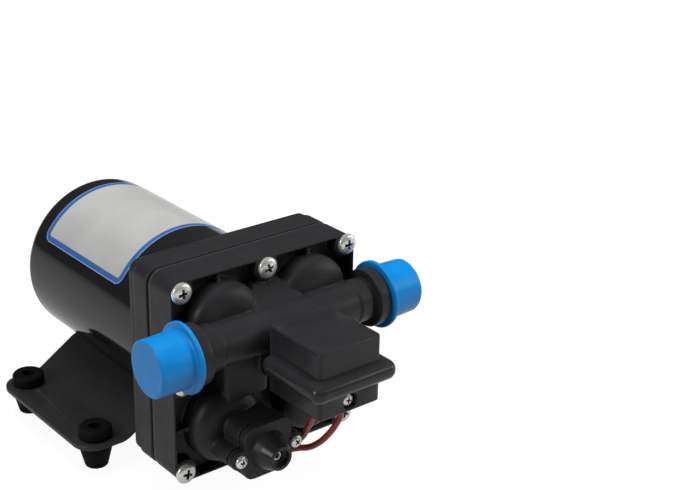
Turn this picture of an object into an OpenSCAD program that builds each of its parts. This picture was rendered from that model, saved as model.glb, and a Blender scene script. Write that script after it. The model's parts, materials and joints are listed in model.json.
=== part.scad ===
// Four-chamber diaphragm water pump for a caravan, with its motor, pressure switch and bypass valve.
// X runs across the ports, Y from the pump head (minus) to the motor's closed end (plus), Z up.
// The origin is the centre of the four foot holes, on the plane that the feet stand on.

/* [Stance] */
// Distance between the left and right foot holes
foot_pitch_x = 104; // [100:1:116]
// Distance between the front and rear foot holes
foot_pitch_y = 68; // [60:1:76]
// Height of the motor axis above the floor
axis_z = 72.5; // [68:0.5:80]
// How far the head's front rim lies ahead of the front foot holes
head_ahead = 70.5; // [66:0.5:78]

/* [Pump head] */
// Width of the head
head_w = 102; // [100:0.5:112]
// Height of the head
head_h = 100; // [98:0.5:110]
// Radius of the head's long corners
head_corner_r = 7; // [5:0.5:9]
// Depth of the front cover
cover_depth = 17; // [16:0.5:22]
// Depth of the open recess in the front cover
recess_depth = 6; // [4:0.5:7]
// Width of the rim round the recess
rim_w = 4; // [3:0.5:5]
// Thickness of the cover wall behind the recess
cover_wall = 2.5; // [2:0.25:3]
// Thickness of the valve plate's rim between the two housings
plate_rim_t = 1.5; // [1.2:0.1:2.5]
// Thickness of the diaphragm
diaphragm_t = 1.5; // [1.2:0.1:2.5]
// How far the diaphragm's edge lies inside the head's outline, as a groove
groove_in = 1.5; // [0.6:0.1:2]
// Depth of the rear housing
rear_depth = 16; // [15:0.5:20]
// Width of the narrower strip at the back of the rear housing
rear_strip = 5.5; // [3:0.5:8]
// Thickness of the rear housing's back wall
rear_wall = 3; // [2.5:0.25:4]
// Distance of the head screws from the head's edges
screw_edge = 5; // [4.5:0.1:6]
// Radius of a head screw's shank
head_screw_r = 2; // [1.8:0.1:2.2]
// Radius of a head screw's pan head
head_screw_head_r = 5; // [4:0.1:5.5]
// Height of a head screw's pan head
head_screw_head_h = 2.8; // [2:0.1:3.5]

/* [Chambers] */
// Distance of each chamber's centre from the head's edges
chamber_edge = 26; // [25.5:0.25:27]
// Radius of a chamber dome where it leaves the recess
dome_r = 18; // [15:0.25:18.5]
// How far a chamber dome stands out of the recess
dome_rise = 9; // [8.75:0.25:11]
// Radius of a chamber dome's rounded edge
dome_edge_r = 8.5; // [4:0.25:8.5]
// Radius of a chamber in the valve plate
chamber_r = 14.5; // [13.5:0.25:15]
// Thickness of a stiffening rib
rib_t = 2.2; // [1.5:0.1:3]

/* [Ports] */
// How far the port axis lies ahead of the head's front rim
port_ahead = 13; // [12:0.5:16]
// Height of the port axis above the motor axis
port_up = 21.5; // [20:0.5:23]
// Radius of the cross manifold
manifold_r = 9.6; // [9.2:0.1:10.5]
// How far the manifold's ends lie inside the head's sides
manifold_in = 6; // [4:0.5:8]
// Radius of the manifold's end bosses
boss_r = 10.4; // [10:0.2:12]
// Radius of a fitting's collar
collar_r = 14; // [13:0.25:15]
// Width of a fitting's collar
collar_w = 6; // [4:0.5:8]
// Radius over the threads of a port nipple
port_r = 10.45; // [9:0.05:10.6]
// Length of a port nipple
port_len = 17; // [12:0.5:20]
// Radius of the water passage in a fitting
port_bore_r = 5; // [4:0.1:5.4]
// Radius of a fitting's plug-in spigot
spigot_r = 8; // [7.6:0.1:8.1]

/* [Caps] */
// Outer radius of a port cap
cap_r = 13.2; // [12.8:0.1:14]
// Radius of a port cap's flange
cap_flange_r = 16.3; // [15:0.1:18]
// Thickness of a port cap's flange
cap_flange_t = 2.6; // [1.5:0.1:4]
// Thickness of a port cap's end wall
cap_wall = 2.4; // [1.5:0.1:3]
// Radius of a port cap's rounded end edge
cap_edge_r = 1.25; // [0.75:0.25:3]

/* [Pressure switch] */
// Distance of the switch's middle from the head's middle
switch_x = 0; // [-2:0.5:2]
// Width of the switch housing
switch_w = 34; // [32:0.5:38]
// How far the switch housing reaches ahead of the head's front rim
switch_ahead = 60.5; // [58:0.5:64]
// How far the joint flange stands out of the switch housing
flange_out = 6; // [3:0.25:7]
// Thickness of each half of the joint flange
flange_half_t = 4.5; // [3.5:0.25:5]
// Height of the lower housing below the joint flange
base_h = 11; // [10:0.5:14]
// Height of the upper housing above the joint flange
top_h = 12.5; // [11:0.5:15]
// Height of the joint flange's underside above the motor axis
flange_up = 9.25; // [9:0.25:11]
// Distance of the adjusting screw above the lower housing's underside
switch_axis_up = 5; // [4.8:0.1:6]
// Radius of the recess round the adjusting screw
screw_recess_r = 3.9; // [3.5:0.1:4.2]

/* [Bypass valve] */
// Distance of the bypass block's middle to the left of the head's middle
bypass_left = 16.75; // [16:0.25:18]
// Height of the bypass block's middle above the head's underside
bypass_up = 18.5; // [18:0.25:20]
// Width and height of the bypass block
bypass_size = 26; // [25:0.25:27]
// How far the bypass cover reaches ahead of the head's front rim
bypass_ahead = 24; // [22:0.5:28]
// Thickness of the bypass cover
bypass_cover_t = 4; // [3:0.25:5]
// Thickness of the gasket behind the bypass cover
gasket_t = 0.8; // [0.5:0.1:1.2]
// Distance between the bypass cover's two screws
bypass_screw_pitch = 30.5; // [29.5:0.25:32]
// Radius of the ears round those screws
ear_r = 4.6; // [4:0.1:5]
// How far the bypass cover's spring tower stands out
spring_tower_len = 10; // [8:0.5:12]
// Radius of that tower where it leaves the cover
spring_tower_r = 9.8; // [8:0.1:11]
// Radius of that tower at its open end
spring_tower_end_r = 5.8; // [5.2:0.1:7]

/* [Motor] */
// Outer radius of the motor can
can_r = 41.5; // [40.5:0.25:43]
// Wall thickness of the motor can
can_wall = 2.6; // [2:0.1:3]
// Length of the motor can
can_len = 118; // [112:1:130]
// Radius of the can's rounded closed end
can_edge_r = 6; // [4:0.5:9]
// Radius of the motor shaft
shaft_r = 4; // [3.5:0.1:4.3]
// Radius of the armature core
core_r = 26; // [24:0.25:27]
// Length of the armature core
core_len = 44; // [36:1:46]
// Angle that each field magnet spans
magnet_arc = 130; // [110:1:135]
// Angle that the label spans over the top of the can
label_arc = 122; // [100:1:130]
// Length of the label along the can
label_len = 73; // [60:1:76]
// Distance of the label from the pump head
label_gap = 32; // [28:1:36]

/* [Drive] */
// Tilt of the cam that rocks the wobble plate
cam_tilt = 3.5; // [2.5:0.1:3.8]
// Radius of the tilted cam
cam_r = 6; // [5.8:0.1:6.2]
// Outer radius of a ball bearing
bearing_r = 11; // [10.5:0.1:11.5]
// Thickness of the wobble plate
wobble_t = 3; // [2.5:0.1:3.2]
// Radius of a piston pad
pad_r = 9.5; // [8:0.25:10]
// Thickness of a piston pad
pad_t = 2; // [1.6:0.1:2.2]

/* [Base] */
// Thickness of the base plate
base_t = 2.5; // [2:0.25:3]
// Overall width of the base
base_w = 128; // [126:1:144]
// Distance from a foot hole to the base's front or rear edge
foot_margin = 10.5; // [9.5:0.5:14]
// Height of the base flange's top face above the floor
flange_top = 16; // [14:0.5:18]
// Half width of the flat deck under the motor
deck_half = 18; // [15:0.5:20]
// Slope of the base's side walls
wall_slope = 33; // [31:1:40]
// Radius of the base's bends, on their upper face
bend_r = 9; // [4:0.5:10]
// Radius of the base's corners
base_corner_r = 11; // [8:0.5:12]

/* [Feet] */
// Radius of a foot under the base plate
foot_top_r = 8.5; // [8:0.1:9]
// Radius of a foot at the floor
foot_floor_r = 5.6; // [4.5:0.1:7]
// Radius of a foot's upper ring
foot_ring_r = 8.1; // [7.5:0.1:8.2]
// Height of a foot's upper ring
foot_ring_h = 5.9; // [4:0.1:7]
// Radius of the neck that the base plate grips
foot_neck_r = 5.5; // [5:0.1:6]
// Radius of a foot's screw hole
foot_hole_r = 2.9; // [2.2:0.1:3.2]

/* [Hidden] */
$fn = 64;

// Clearances
slip = 0.05;
running_gap = 0.3;
screw_slip = 0.2;
over = 1;
bury = 0.5;

// Places along the motor axis, from the head's front rim
head_front_y = -(foot_pitch_y / 2 + head_ahead);
pocket_front = recess_depth + cover_wall;
gallery_t = 3.5;
plate_front = pocket_front + gallery_t;
plate_rear = cover_depth + plate_rim_t;
rear_front = plate_rear + diaphragm_t;
head_depth = rear_front + rear_depth;
rear_wall_front = head_depth - rear_wall;
can_front_y = head_front_y + head_depth;
plate_floor_t = 3;
floor_of_chamber = plate_front + plate_floor_t;

// Places across the head, from the motor axis
screw_x = head_w / 2 - screw_edge;
screw_z = head_h / 2 - screw_edge;
chamber_x = head_w / 2 - chamber_edge;
chamber_z = head_h / 2 - chamber_edge;
manifold_half = head_w / 2 - manifold_in;

// Inside of the front cover and the valve plate
pocket_edge = 10;
pocket_w = head_w - 2 * pocket_edge;
pocket_h = head_h - 2 * pocket_edge;
pocket_corner_r = 8;
plate_in = 0.25;
plate_slip = 1;
seal_w = 2;
seal_t = 1.2;
cavity_edge = 10.5;
cavity_corner_r = 10;
rear_step_in = 0.8;
outlet_wall_r = 17;
outlet_wall_t = 2;
screw_boss_r = 6.5;
umbrella_r = 5.5;
umbrella_t = 1;
umbrella_stem_r = 1.5;
bulb_r = 2.2;
bulb_t = 1.4;
inlet_hole_r = 1.6;
inlet_hole_ring = 3.7;
outlet_disc_r = 13;
outlet_disc_t = 1.2;
outlet_stem_r = 2;
fold_ring_r = 11.5;
fold_tube_r = 1.6;

// Eight head screws: the corners and the middles of the sides
screw_spots = [for (x = [-1, 0, 1], z = [-1, 0, 1]) if (x != 0 || z != 0) [x * screw_x, z * screw_z]];
screw_bite = 9;
head_screw_len = rear_front + screw_bite;

// Ports and caps
groove_w = 1.5;
boss_w = 7;
web_half = 40;
web_t = 10;
passage_x = 18;
passage_r = port_bore_r + 0.4;
spigot_len = 11;
spigot_in = manifold_half - spigot_len;
collar_in = manifold_half + groove_w;
collar_out = collar_in + collar_w;
port_end = collar_out + port_len;
seal_ring_x = manifold_half - 6;
seal_ring_r = 0.9;
cap_in = collar_out + running_gap;
cap_hole_r = port_r + running_gap;
cap_len = port_end + 0.7 + cap_wall - cap_in;

// Gusset between the two upper domes, over the manifold
rib_front = 1.5;
gusset_half = 13;
gusset_top_half = 7;
gusset_slit = 0.8;
gusset_front = -9.5;
gusset_low = 9.2;
gusset_high = 16.5;
gusset_rear = 1;

// Tower that hangs under the manifold, above the bypass block
tower_gap = 6.5;
tower_w = 24;
tower_right = bypass_left - bypass_size / 2;
tower_ahead = 7.5;
tower_corner_r = 3;

// Switch housing, from the motor axis
base_top = flange_up + flange_half_t;
cover_bottom = base_top + flange_half_t;
switch_bottom = flange_up - base_h;
switch_top = cover_bottom + top_h;
switch_axis_z = switch_bottom + switch_axis_up;
switch_rear = -(port_ahead + manifold_r + 1.4);
cover_rear = switch_rear;
flange_rear = switch_rear - 1;
switch_wall = 2;
switch_corner_r = 2.2;
flange_core = 0.5;
flange_corner_r = flange_half_t + flange_core;
neck_r = 9.5;
neck_spigot_r = 4.6;
neck_spigot_len = 3;
recess_in = 3;
adjust_r = 2.5;
adjust_head_r = 3;
adjust_head_h = 1.8;
spring_seat_in = recess_in + 4;
chamber_start = -switch_ahead + spring_seat_in;
plunger_r = 3.9;
plunger_bore_r = plunger_r + 0.1;
plunger_front = -switch_ahead + 15;
plunger_rear = switch_rear - neck_spigot_len - 1.3;
plunger_travel = 2;
sensing_disc_r = 4.4;
post_w = 3;
post_front = plunger_front + 1;
post_top = base_top + 7;
microswitch_size = [18, 10.5, 10];
microswitch_rear = plunger_front - 2;
button_r = 1.5;
button_len = 1.5;
button_in = 1.2;
button_guide = 2.7;
button_up = 5;

// Bypass valve, in the head's front plane
bypass_x = -bypass_left;
bypass_z = bypass_up - head_h / 2;
bypass_corner_r = 5;
bypass_body_front = -(bypass_ahead - bypass_cover_t - gasket_t);
bypass_screw_r = 1.5;
bypass_screw_head_r = 3.1;
bypass_screw_head_h = 2.2;
bypass_screw_len = 14;
bypass_screw_z = bypass_z - 1.3;
adjuster_x = bypass_x;
adjuster_z = bypass_z - 0.7;
adjuster_recess_r = 4.2;
adjuster_in = 1.8;
adjuster_len = 7;
tower_front = -bypass_ahead - spring_tower_len;
adjuster_front = tower_front + adjuster_in;
spring_space_front = adjuster_front + adjuster_len - 0.5;
poppet_r = 3.2;
poppet_bore_r = poppet_r + 0.1;
poppet_rear = -4.3;
poppet_front = -9;
seat_r = 2;

// Motor, from the can's open end
can_in_r = can_r - can_wall;
bell_t = 5;
bell_hub_r = bearing_r + 4;
bell_hub_len = 8;
bearing_w = 7;
cam_bearing_w = 6;
front_bearing_at = -1;
rear_bearing_r = 9.5;
rear_bearing_w = 6;
rear_bearing_in = 12;
rear_bearing_at = can_len - rear_bearing_in;
rear_hub_r = 12.5;
rear_boss_r = 12;
rear_boss_h = 2.5;
shaft_short = 6.5;
shaft_rear = can_len - shaft_short;
core_at = 40;
winding_w = 7;
winding_in_r = 11;
slot_count = 12;
slot_w = 3;
slot_floor_r = 15;
magnet_in_r = core_r + 1;
magnet_over = 4;
commutator_r = 13;
commutator_at = 14;
commutator_len = 16;
bar_slit = 0.6;
holder_size = [18, 12, 9];
holder_in_r = commutator_r + 2;
brush_size = [12, 8, 6];
brush_slip = 0.1;
holder_end_t = 2;
brush_spring_r = 2.2;
brush_wire_r = 0.35;
bolt_r = 2;
bolt_ring = 31.5;
bolt_head_r = 3.6;
bolt_head_h = 2.4;
label_t = 0.2;

// Wobble drive
cam_y = rear_wall_front - 4.8;
cam_flange_r = 8;
cam_flange_t = 1;
hub_r = bearing_r + 3.5;
arm_w = 14;
arm_end_r = 9;
piston_screw_r = 1.5;
piston_screw_head_r = 2.6;
piston_screw_head_h = 1.2;
shaft_front = cam_y - 4;

// Base
deck_top = axis_z - can_r - 0.1;
base_len = foot_pitch_y + 2 * foot_margin;
bend_steps = 6;
wall_drop = deck_top - flange_top;
bend_run = bend_r * tan(wall_slope / 2);
wall_foot_x = deck_half + wall_drop / tan(wall_slope);
bracket_screw_y = 20;
bracket_screw_r = 2.4;
bracket_screw_head_r = 4.4;
bracket_screw_head_h = 2.8;
bracket_screw_len = base_t + can_wall + 2.5;

// Switch leads: points from the head's front rim and the motor axis
lead_r = 1.5;
lead_sides = 8;
grommet_x = -0.5;
grommet_y = 48;
lead_left_route = [
    [-1, -38, switch_bottom], [-1, -38, -6.75], [1.5, -33, -17.2], [4.1, -26, -27.1], [5.1, -20.5, -35],
    [3.4, -17.5, -38.8], [1.4, -14, -41.2], [-1, -10.6, -43.6], [-2.2, -8, -48], [-2.2, -6, -53],
    [-2.2, -1.5, -56.6], [-2.2, 6, -57.5], [-2.2, 18, -57.5], [-2.2, 30, -57], [-2.2, 40, -54],
    [-2.2, 46, -49], [-2.2, 48, -44.5], [-2.2, 48, -41]
];
lead_right_route = [
    [14.2, -37.5, switch_bottom], [14.2, -37.5, -7.5], [15, -36, -19.9], [14, -34, -25.5], [12.7, -30, -32.2],
    [11.1, -25, -38.3], [9.2, -20, -42.2], [6, -17, -42.8], [3.2, -13.5, -44.6], [1.6, -10.4, -48],
    [1.2, -7, -52.6], [1.2, -2.5, -56.2], [1.2, 6, -57.5], [1.2, 18, -57.5], [1.2, 30, -57],
    [1.2, 40, -54], [1.2, 46, -49], [1.2, 48, -44.5], [1.2, 48, -41]
];

// Frames and shared shapes

module at_head() { translate([0, head_front_y, axis_z]) children(); }

module at_motor() { translate([0, can_front_y, axis_z]) children(); }

// A flat outline, drawn as X and Z, drawn out from y0 to y1
module plate_y(y0, y1) { translate([0, y1, 0]) rotate([90, 0, 0]) linear_extrude(y1 - y0) children(); }

module rod_y(r, y0, y1) { translate([0, y0, 0]) rotate([-90, 0, 0]) cylinder(r = r, h = y1 - y0); }

module rod_x(r, x0, x1) { translate([x0, 0, 0]) rotate([0, 90, 0]) cylinder(r = r, h = x1 - x0); }

module block(x, y, z) { translate([x[0], y[0], z[0]]) cube([x[1] - x[0], y[1] - y[0], z[1] - z[0]]); }

module rounded_rect(w, h, r) {
    square([w - 2 * r, h], center = true);
    square([w, h - 2 * r], center = true);
    for (sx = [-1, 1], sz = [-1, 1]) translate([sx * (w / 2 - r), sz * (h / 2 - r)]) circle(r);
}

module at_chambers() {
    for (sx = [-1, 1], sz = [-1, 1]) translate([sx * chamber_x, 0, sz * chamber_z]) children();
}

module at_screws(spots) { for (s = spots) translate([s[0], 0, s[1]]) children(); }

module on_both_ports() {
    translate([0, -port_ahead, port_up]) for (side = [0, 1]) mirror([side, 0, 0]) children();
}

module on_port(side) { translate([0, -port_ahead, port_up]) mirror([side < 0 ? 1 : 0, 0, 0]) children(); }

// Cross-headed pan screw: the head ends at y = 0 and the shank runs to +Y
module pan_screw(head_r, head_h, shank_r, shank_len) {
    edge = head_h * 0.45;
    recess = head_r * 0.5;
    difference() {
        union() {
            rotate([-90, 0, 0]) translate([0, 0, -head_h + edge]) cylinder(r = head_r, h = head_h - edge);
            rotate([-90, 0, 0]) translate([0, 0, -head_h])
                cylinder(r1 = head_r * 0.72, r2 = head_r, h = edge);
            rod_y(shank_r, -bury, shank_len);
        }
        for (turn = [0, 90]) rotate([0, turn, 0])
            block([-recess, recess], [-head_h - over, -head_h * 0.5], [-head_r * 0.11, head_r * 0.11]);
    }
}

// Round tube along a list of points, with the reference direction that is never along the tube
function unit(v) = v / norm(v);
function along(p, i) = unit(p[min(i + 1, len(p) - 1)] - p[max(i - 1, 0)]);
function ring_points(p, i, r, sides, ref) =
    let (t = along(p, i), a = unit(cross(t, ref)), b = cross(t, a))
    [for (k = [0:sides - 1]) p[i] + r * (cos(360 * k / sides) * a + sin(360 * k / sides) * b)];
function side_faces(i, sides) = [for (k = [0:sides - 1], half = [0, 1])
    let (a = i * sides + k, b = i * sides + (k + 1) % sides)
    half == 0 ? [a, a + sides, b] : [b, a + sides, b + sides]];
module tube(p, r, sides, ref) {
    last = (len(p) - 1) * sides;
    polyhedron(
        points = [for (i = [0:len(p) - 1]) each ring_points(p, i, r, sides, ref)],
        faces = concat(
            [for (i = [0:len(p) - 2]) each side_faces(i, sides)],
            [for (k = [1:sides - 2]) [0, k, k + 1]],
            [for (k = [1:sides - 2]) [last, last + k + 1, last + k]]
        )
    );
}

// Coil spring along +Y from y = 0, with its two ends flat to its seats
spring_sides = 6;
spring_rings = 8;
function coil_points(r, y0, y1, turns) = [for (i = [0:turns * spring_rings])
    let (a = 360 * i / spring_rings) [r * cos(a), y0 + (y1 - y0) * i / (turns * spring_rings), r * sin(a)]];
module coil_spring(r, wire_r, y0, y1, turns) {
    tube(coil_points(r, y0 + wire_r, y1 - wire_r, turns), wire_r, spring_sides, [0, 1, 0]);
}

// Pump head

module head_outline(inset) {
    rounded_rect(head_w - 2 * inset, head_h - 2 * inset, head_corner_r - inset);
}

module head_screw_holes(r, y0, y1) { at_screws(screw_spots) rod_y(r, y0, y1); }

module cover_recess() {
    difference() {
        plate_y(-over, recess_depth)
            rounded_rect(head_w - 2 * rim_w, head_h - 2 * rim_w, max(1, head_corner_r - rim_w));
        head_screw_holes(screw_boss_r, -2 * over, cover_depth);
    }
}

// Each dome is a low drum with a broad rounded edge
module chamber_domes() {
    at_chambers() translate([0, recess_depth + bury, 0]) rotate([90, 0, 0]) rotate_extrude()
        cup_section(dome_r, dome_rise + bury, dome_edge_r);
}

// Ribs from each dome out to the rim, beside and above or below it
module dome_ribs() {
    side = head_w / 2 - rim_w + bury;
    top = head_h / 2 - rim_w + bury;
    for (sx = [-1, 1], sz = [-1, 1]) mirror([sx < 0 ? 1 : 0, 0, 0]) mirror([0, 0, sz < 0 ? 1 : 0]) {
        block([chamber_x + dome_r * 0.7, side], [rib_front, recess_depth + bury],
            [chamber_z - rib_t / 2, chamber_z + rib_t / 2]);
        block([chamber_x - rib_t / 2, chamber_x + rib_t / 2], [rib_front, recess_depth + bury],
            [chamber_z + dome_r * 0.7, top]);
    }
}

module manifold() {
    on_both_ports() {
        rod_x(manifold_r, -bury, manifold_half);
        rod_x(boss_r, manifold_half - boss_w, manifold_half);
    }
    block([-web_half, web_half], [-port_ahead, recess_depth + bury],
        [port_up - web_t / 2, port_up + web_t / 2]);
    block([-rib_t * 2, rib_t * 2], [gusset_rear, recess_depth + bury], [port_up, screw_z]);
}

// Two ramps that widen from the top middle screw down to the manifold, with a slit between them
module top_gusset() {
    low = port_up + gusset_low;
    high = port_up + gusset_high;
    for (side = [0, 1]) mirror([side, 0, 0]) intersection() {
        rotate([90, 0, 90]) linear_extrude(gusset_half)
            polygon([[recess_depth + bury, port_up], [gusset_front, port_up], [gusset_front, low],
                [gusset_rear, high], [recess_depth + bury, high]]);
        plate_y(gusset_front, recess_depth + bury)
            polygon([[gusset_slit / 2, port_up], [gusset_half, port_up], [gusset_half, low],
                [gusset_top_half, high], [gusset_slit / 2, high]]);
    }
}

module bypass_outline() {
    translate([bypass_x, bypass_z]) rounded_rect(bypass_size, bypass_size, bypass_corner_r);
    for (side = [-1, 1]) translate([bypass_x + side * bypass_screw_pitch / 2, bypass_screw_z]) circle(ear_r);
}

module bypass_tower() {
    tower_x = -tower_right - tower_w / 2;
    tower_z = bypass_z + bypass_size / 2 + tower_gap;
    depth = tower_ahead + recess_depth + bury;
    translate([tower_x, recess_depth + bury - depth / 2, tower_z])
        linear_extrude(port_up - tower_z) rounded_rect(tower_w, depth, tower_corner_r);
}

module switch_neck() {
    translate([switch_x, 0, switch_axis_z]) {
        rod_y(neck_r, switch_rear, recess_depth + bury);
        rod_y(neck_spigot_r, switch_rear - neck_spigot_len, switch_rear + bury);
    }
}

module at_bypass_screws() {
    for (side = [-1, 1]) translate([bypass_x + side * bypass_screw_pitch / 2, 0, bypass_screw_z]) children();
}

module front_cover_holes() {
    head_screw_holes(head_screw_r + screw_slip, -over, cover_depth + over);
    difference() {
        plate_y(pocket_front, cover_depth + over) rounded_rect(pocket_w, pocket_h, pocket_corner_r);
        difference() {
            rod_y(outlet_wall_r + outlet_wall_t, pocket_front - over, plate_front);
            rod_y(outlet_wall_r, pocket_front - 2 * over, plate_front + over);
        }
    }
    plate_y(cover_depth - seal_t, cover_depth + over)
        rounded_rect(pocket_w + 2 * seal_w, pocket_h + 2 * seal_w, pocket_corner_r + seal_w);
    on_both_ports() {
        rod_x(spigot_r + slip, spigot_in, manifold_half + over);
        rod_x(collar_r + running_gap, collar_in - running_gap, head_w / 2 + over);
        rod_x(passage_r, passage_x - passage_r, spigot_in + over);
        translate([passage_x, 0, 0]) rod_y(passage_r, 0, port_ahead + pocket_front + bury);
    }
    translate([adjuster_x, 0, adjuster_z]) {
        rod_y(poppet_bore_r, bypass_body_front - over, poppet_rear + 0.3);
        rod_y(seat_r, poppet_rear, pocket_front + bury);
    }
    at_bypass_screws()
        rod_y(bypass_screw_r + slip, bypass_body_front - over, -bypass_ahead + bypass_screw_len + 1);
    translate([switch_x, 0, switch_axis_z])
        rod_y(seat_r, switch_rear - neck_spigot_len - over, pocket_front + bury);
}

module front_cover() {
    color([0.16, 0.16, 0.17]) at_head() difference() {
        union() {
            difference() {
                plate_y(0, cover_depth) head_outline(0);
                cover_recess();
            }
            chamber_domes();
            dome_ribs();
            manifold();
            top_gusset();
            bypass_tower();
            plate_y(bypass_body_front, recess_depth + bury) bypass_outline();
            switch_neck();
        }
        front_cover_holes();
    }
}

module valve_plate() {
    color([0.55, 0.55, 0.57]) at_head() difference() {
        union() {
            plate_y(cover_depth, plate_rear) head_outline(plate_in);
            plate_y(plate_front, cover_depth + bury) rounded_rect(
                pocket_w - 2 * plate_slip, pocket_h - 2 * plate_slip, pocket_corner_r - plate_slip);
        }
        head_screw_holes(head_screw_r + screw_slip, cover_depth - over, plate_rear + over);
        at_chambers() {
            rod_y(chamber_r, floor_of_chamber, plate_rear + over);
            rod_y(umbrella_stem_r + slip, plate_front - over, floor_of_chamber + over);
            for (turn = [45:90:315]) rotate([0, turn, 0]) translate([inlet_hole_ring, 0, 0])
                rod_y(inlet_hole_r, plate_front - over, floor_of_chamber + over);
        }
        rod_y(outlet_stem_r + slip, plate_front - over, floor_of_chamber);
    }
}

module valve_seal() {
    outer = 2 * seal_w - 2 * slip;
    inner = 2 * slip - 2 * plate_slip;
    color([0.2, 0.2, 0.2]) at_head() plate_y(cover_depth - seal_t, cover_depth) difference() {
        rounded_rect(pocket_w + outer, pocket_h + outer, pocket_corner_r + seal_w);
        rounded_rect(pocket_w + inner, pocket_h + inner, pocket_corner_r - plate_slip);
    }
}

module inlet_valves() {
    color([0.75, 0.35, 0.25]) at_head() at_chambers() {
        rod_y(umbrella_r, floor_of_chamber, floor_of_chamber + umbrella_t);
        rod_y(umbrella_stem_r, plate_front - bury, floor_of_chamber + bury);
        rod_y(bulb_r, plate_front - bulb_t, plate_front);
    }
}

module outlet_valve() {
    color([0.75, 0.35, 0.25]) at_head() {
        rod_y(outlet_disc_r, plate_front - outlet_disc_t, plate_front);
        rod_y(outlet_stem_r, plate_front - bury, floor_of_chamber - bury);
    }
}

module diaphragm() {
    color([0.12, 0.12, 0.12]) at_head() difference() {
        union() {
            plate_y(plate_rear, rear_front) head_outline(groove_in);
            at_chambers() translate([0, rear_front - fold_tube_r - 0.1, 0]) rotate([-90, 0, 0])
                rotate_extrude() translate([fold_ring_r, 0]) circle(fold_tube_r);
        }
        head_screw_holes(head_screw_r + screw_slip, cover_depth - over, rear_front + over);
    }
}

module rear_housing() {
    step_y = head_depth - rear_strip;
    color([0.15, 0.15, 0.16]) at_head() difference() {
        union() {
            plate_y(rear_front, step_y) head_outline(0);
            plate_y(step_y - bury, head_depth) head_outline(rear_step_in);
        }
        plate_y(rear_front - over, rear_wall_front)
            rounded_rect(head_w - 2 * cavity_edge, head_h - 2 * cavity_edge, cavity_corner_r);
        head_screw_holes(head_screw_r + slip, rear_front - over, head_screw_len + over);
        rod_y(bell_hub_r + slip, rear_wall_front - over, head_depth + over);
        at_bolts() rod_y(bolt_r + slip, rear_wall_front - over, head_depth + over);
    }
}

module head_screws() {
    color([0.8, 0.8, 0.78]) at_head() at_screws(screw_spots)
        pan_screw(head_screw_head_r, head_screw_head_h, head_screw_r, head_screw_len);
}

// Ports and caps

module port_fitting(side) {
    color([0.15, 0.15, 0.16]) at_head() on_port(side) difference() {
        union() {
            rod_x(spigot_r, spigot_in, manifold_half + bury);
            rod_x(port_r, manifold_half, port_end);
            rod_x(collar_r, collar_in, collar_out);
        }
        rod_x(port_bore_r, spigot_in - over, port_end + over);
        difference() {
            rod_x(spigot_r + over, seal_ring_x - 1.1, seal_ring_x + 1.1);
            rod_x(spigot_r - 2 * seal_ring_r - 2 * slip, seal_ring_x - 2, seal_ring_x + 2);
        }
    }
}

module inlet_fitting() { port_fitting(-1); }

module outlet_fitting() { port_fitting(1); }

module port_seals() {
    color([0.1, 0.1, 0.1]) at_head() on_both_ports() translate([seal_ring_x, 0, 0]) rotate([0, 90, 0])
        rotate_extrude() translate([spigot_r - seal_ring_r - slip, 0]) circle(seal_ring_r);
}

module port_cap(side) {
    color([0.12, 0.5, 0.85]) at_head() on_port(side) translate([cap_in, 0, 0]) rotate([0, 90, 0])
        rotate_extrude() difference() {
            union() {
                square([cap_flange_r, cap_flange_t]);
                square([cap_r, cap_len - cap_edge_r]);
                square([cap_r - cap_edge_r, cap_len]);
                translate([cap_r - cap_edge_r, cap_len - cap_edge_r]) circle(cap_edge_r);
            }
            translate([0, -over]) square([cap_hole_r, cap_len - cap_wall + over]);
        }
}

module inlet_cap() { port_cap(-1); }

module outlet_cap() { port_cap(1); }

// Pressure switch

module at_switch() { at_head() translate([switch_x, 0, 0]) children(); }

// Plan of the switch housing between two distances behind the front rim
module switch_plan(y0, y1, w, r) { translate([0, (y0 + y1) / 2]) rounded_rect(w, y1 - y0, r); }

module raised(z0, z1) { translate([0, 0, z0]) linear_extrude(z1 - z0) children(); }

// Section across the joint flange, with a full-round edge on both sides
module flange_section(half) {
    translate([-half, -flange_half_t]) square([2 * half, 2 * flange_half_t]);
    for (side = [-1, 1]) translate([side * half, 0]) circle(flange_half_t);
}

// The part of the joint flange that lies between two heights
module switch_flange(z0, z1) {
    half_x = switch_w / 2 + flange_out - flange_corner_r;
    half_y = (flange_rear + switch_ahead + flange_out) / 2 - flange_corner_r;
    intersection() {
        translate([0, (flange_rear - switch_ahead - flange_out) / 2, base_top]) {
            plate_y(-half_y, half_y) flange_section(half_x + flange_core);
            translate([-half_x, 0, 0]) rotate([90, 0, 90])
                linear_extrude(2 * half_x) flange_section(half_y + flange_core);
            for (sx = [-1, 1], sy = [-1, 1]) translate([sx * half_x, sy * half_y, 0]) rotate_extrude() {
                translate([0, -flange_half_t]) square([flange_core, 2 * flange_half_t]);
                translate([flange_core, 0]) intersection() {
                    circle(flange_half_t);
                    translate([0, -flange_half_t]) square([flange_half_t, 2 * flange_half_t]);
                }
            }
        }
        block([-switch_w, switch_w], [-2 * switch_ahead, switch_ahead], [z0, z1]);
    }
}

module switch_base() {
    slot_front = post_front - plunger_travel - 1;
    color([0.17, 0.17, 0.18]) at_switch() difference() {
        union() {
            raised(switch_bottom, flange_up + bury)
                switch_plan(-switch_ahead, switch_rear, switch_w, switch_corner_r);
            switch_flange(flange_up, base_top);
        }
        translate([0, 0, switch_axis_z]) {
            rod_y(screw_recess_r, -switch_ahead - over, -switch_ahead + recess_in);
            rod_y(adjust_r + slip, -switch_ahead, chamber_start + over);
            rod_y(plunger_bore_r, chamber_start, switch_rear - neck_spigot_len);
            rod_y(neck_spigot_r + slip, switch_rear - neck_spigot_len - 1.2, switch_rear + over);
        }
        block([-post_w / 2 - 0.5, post_w / 2 + 0.5], [slot_front, post_front + post_w + 1],
            [switch_axis_z, base_top + over]);
    }
}

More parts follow.
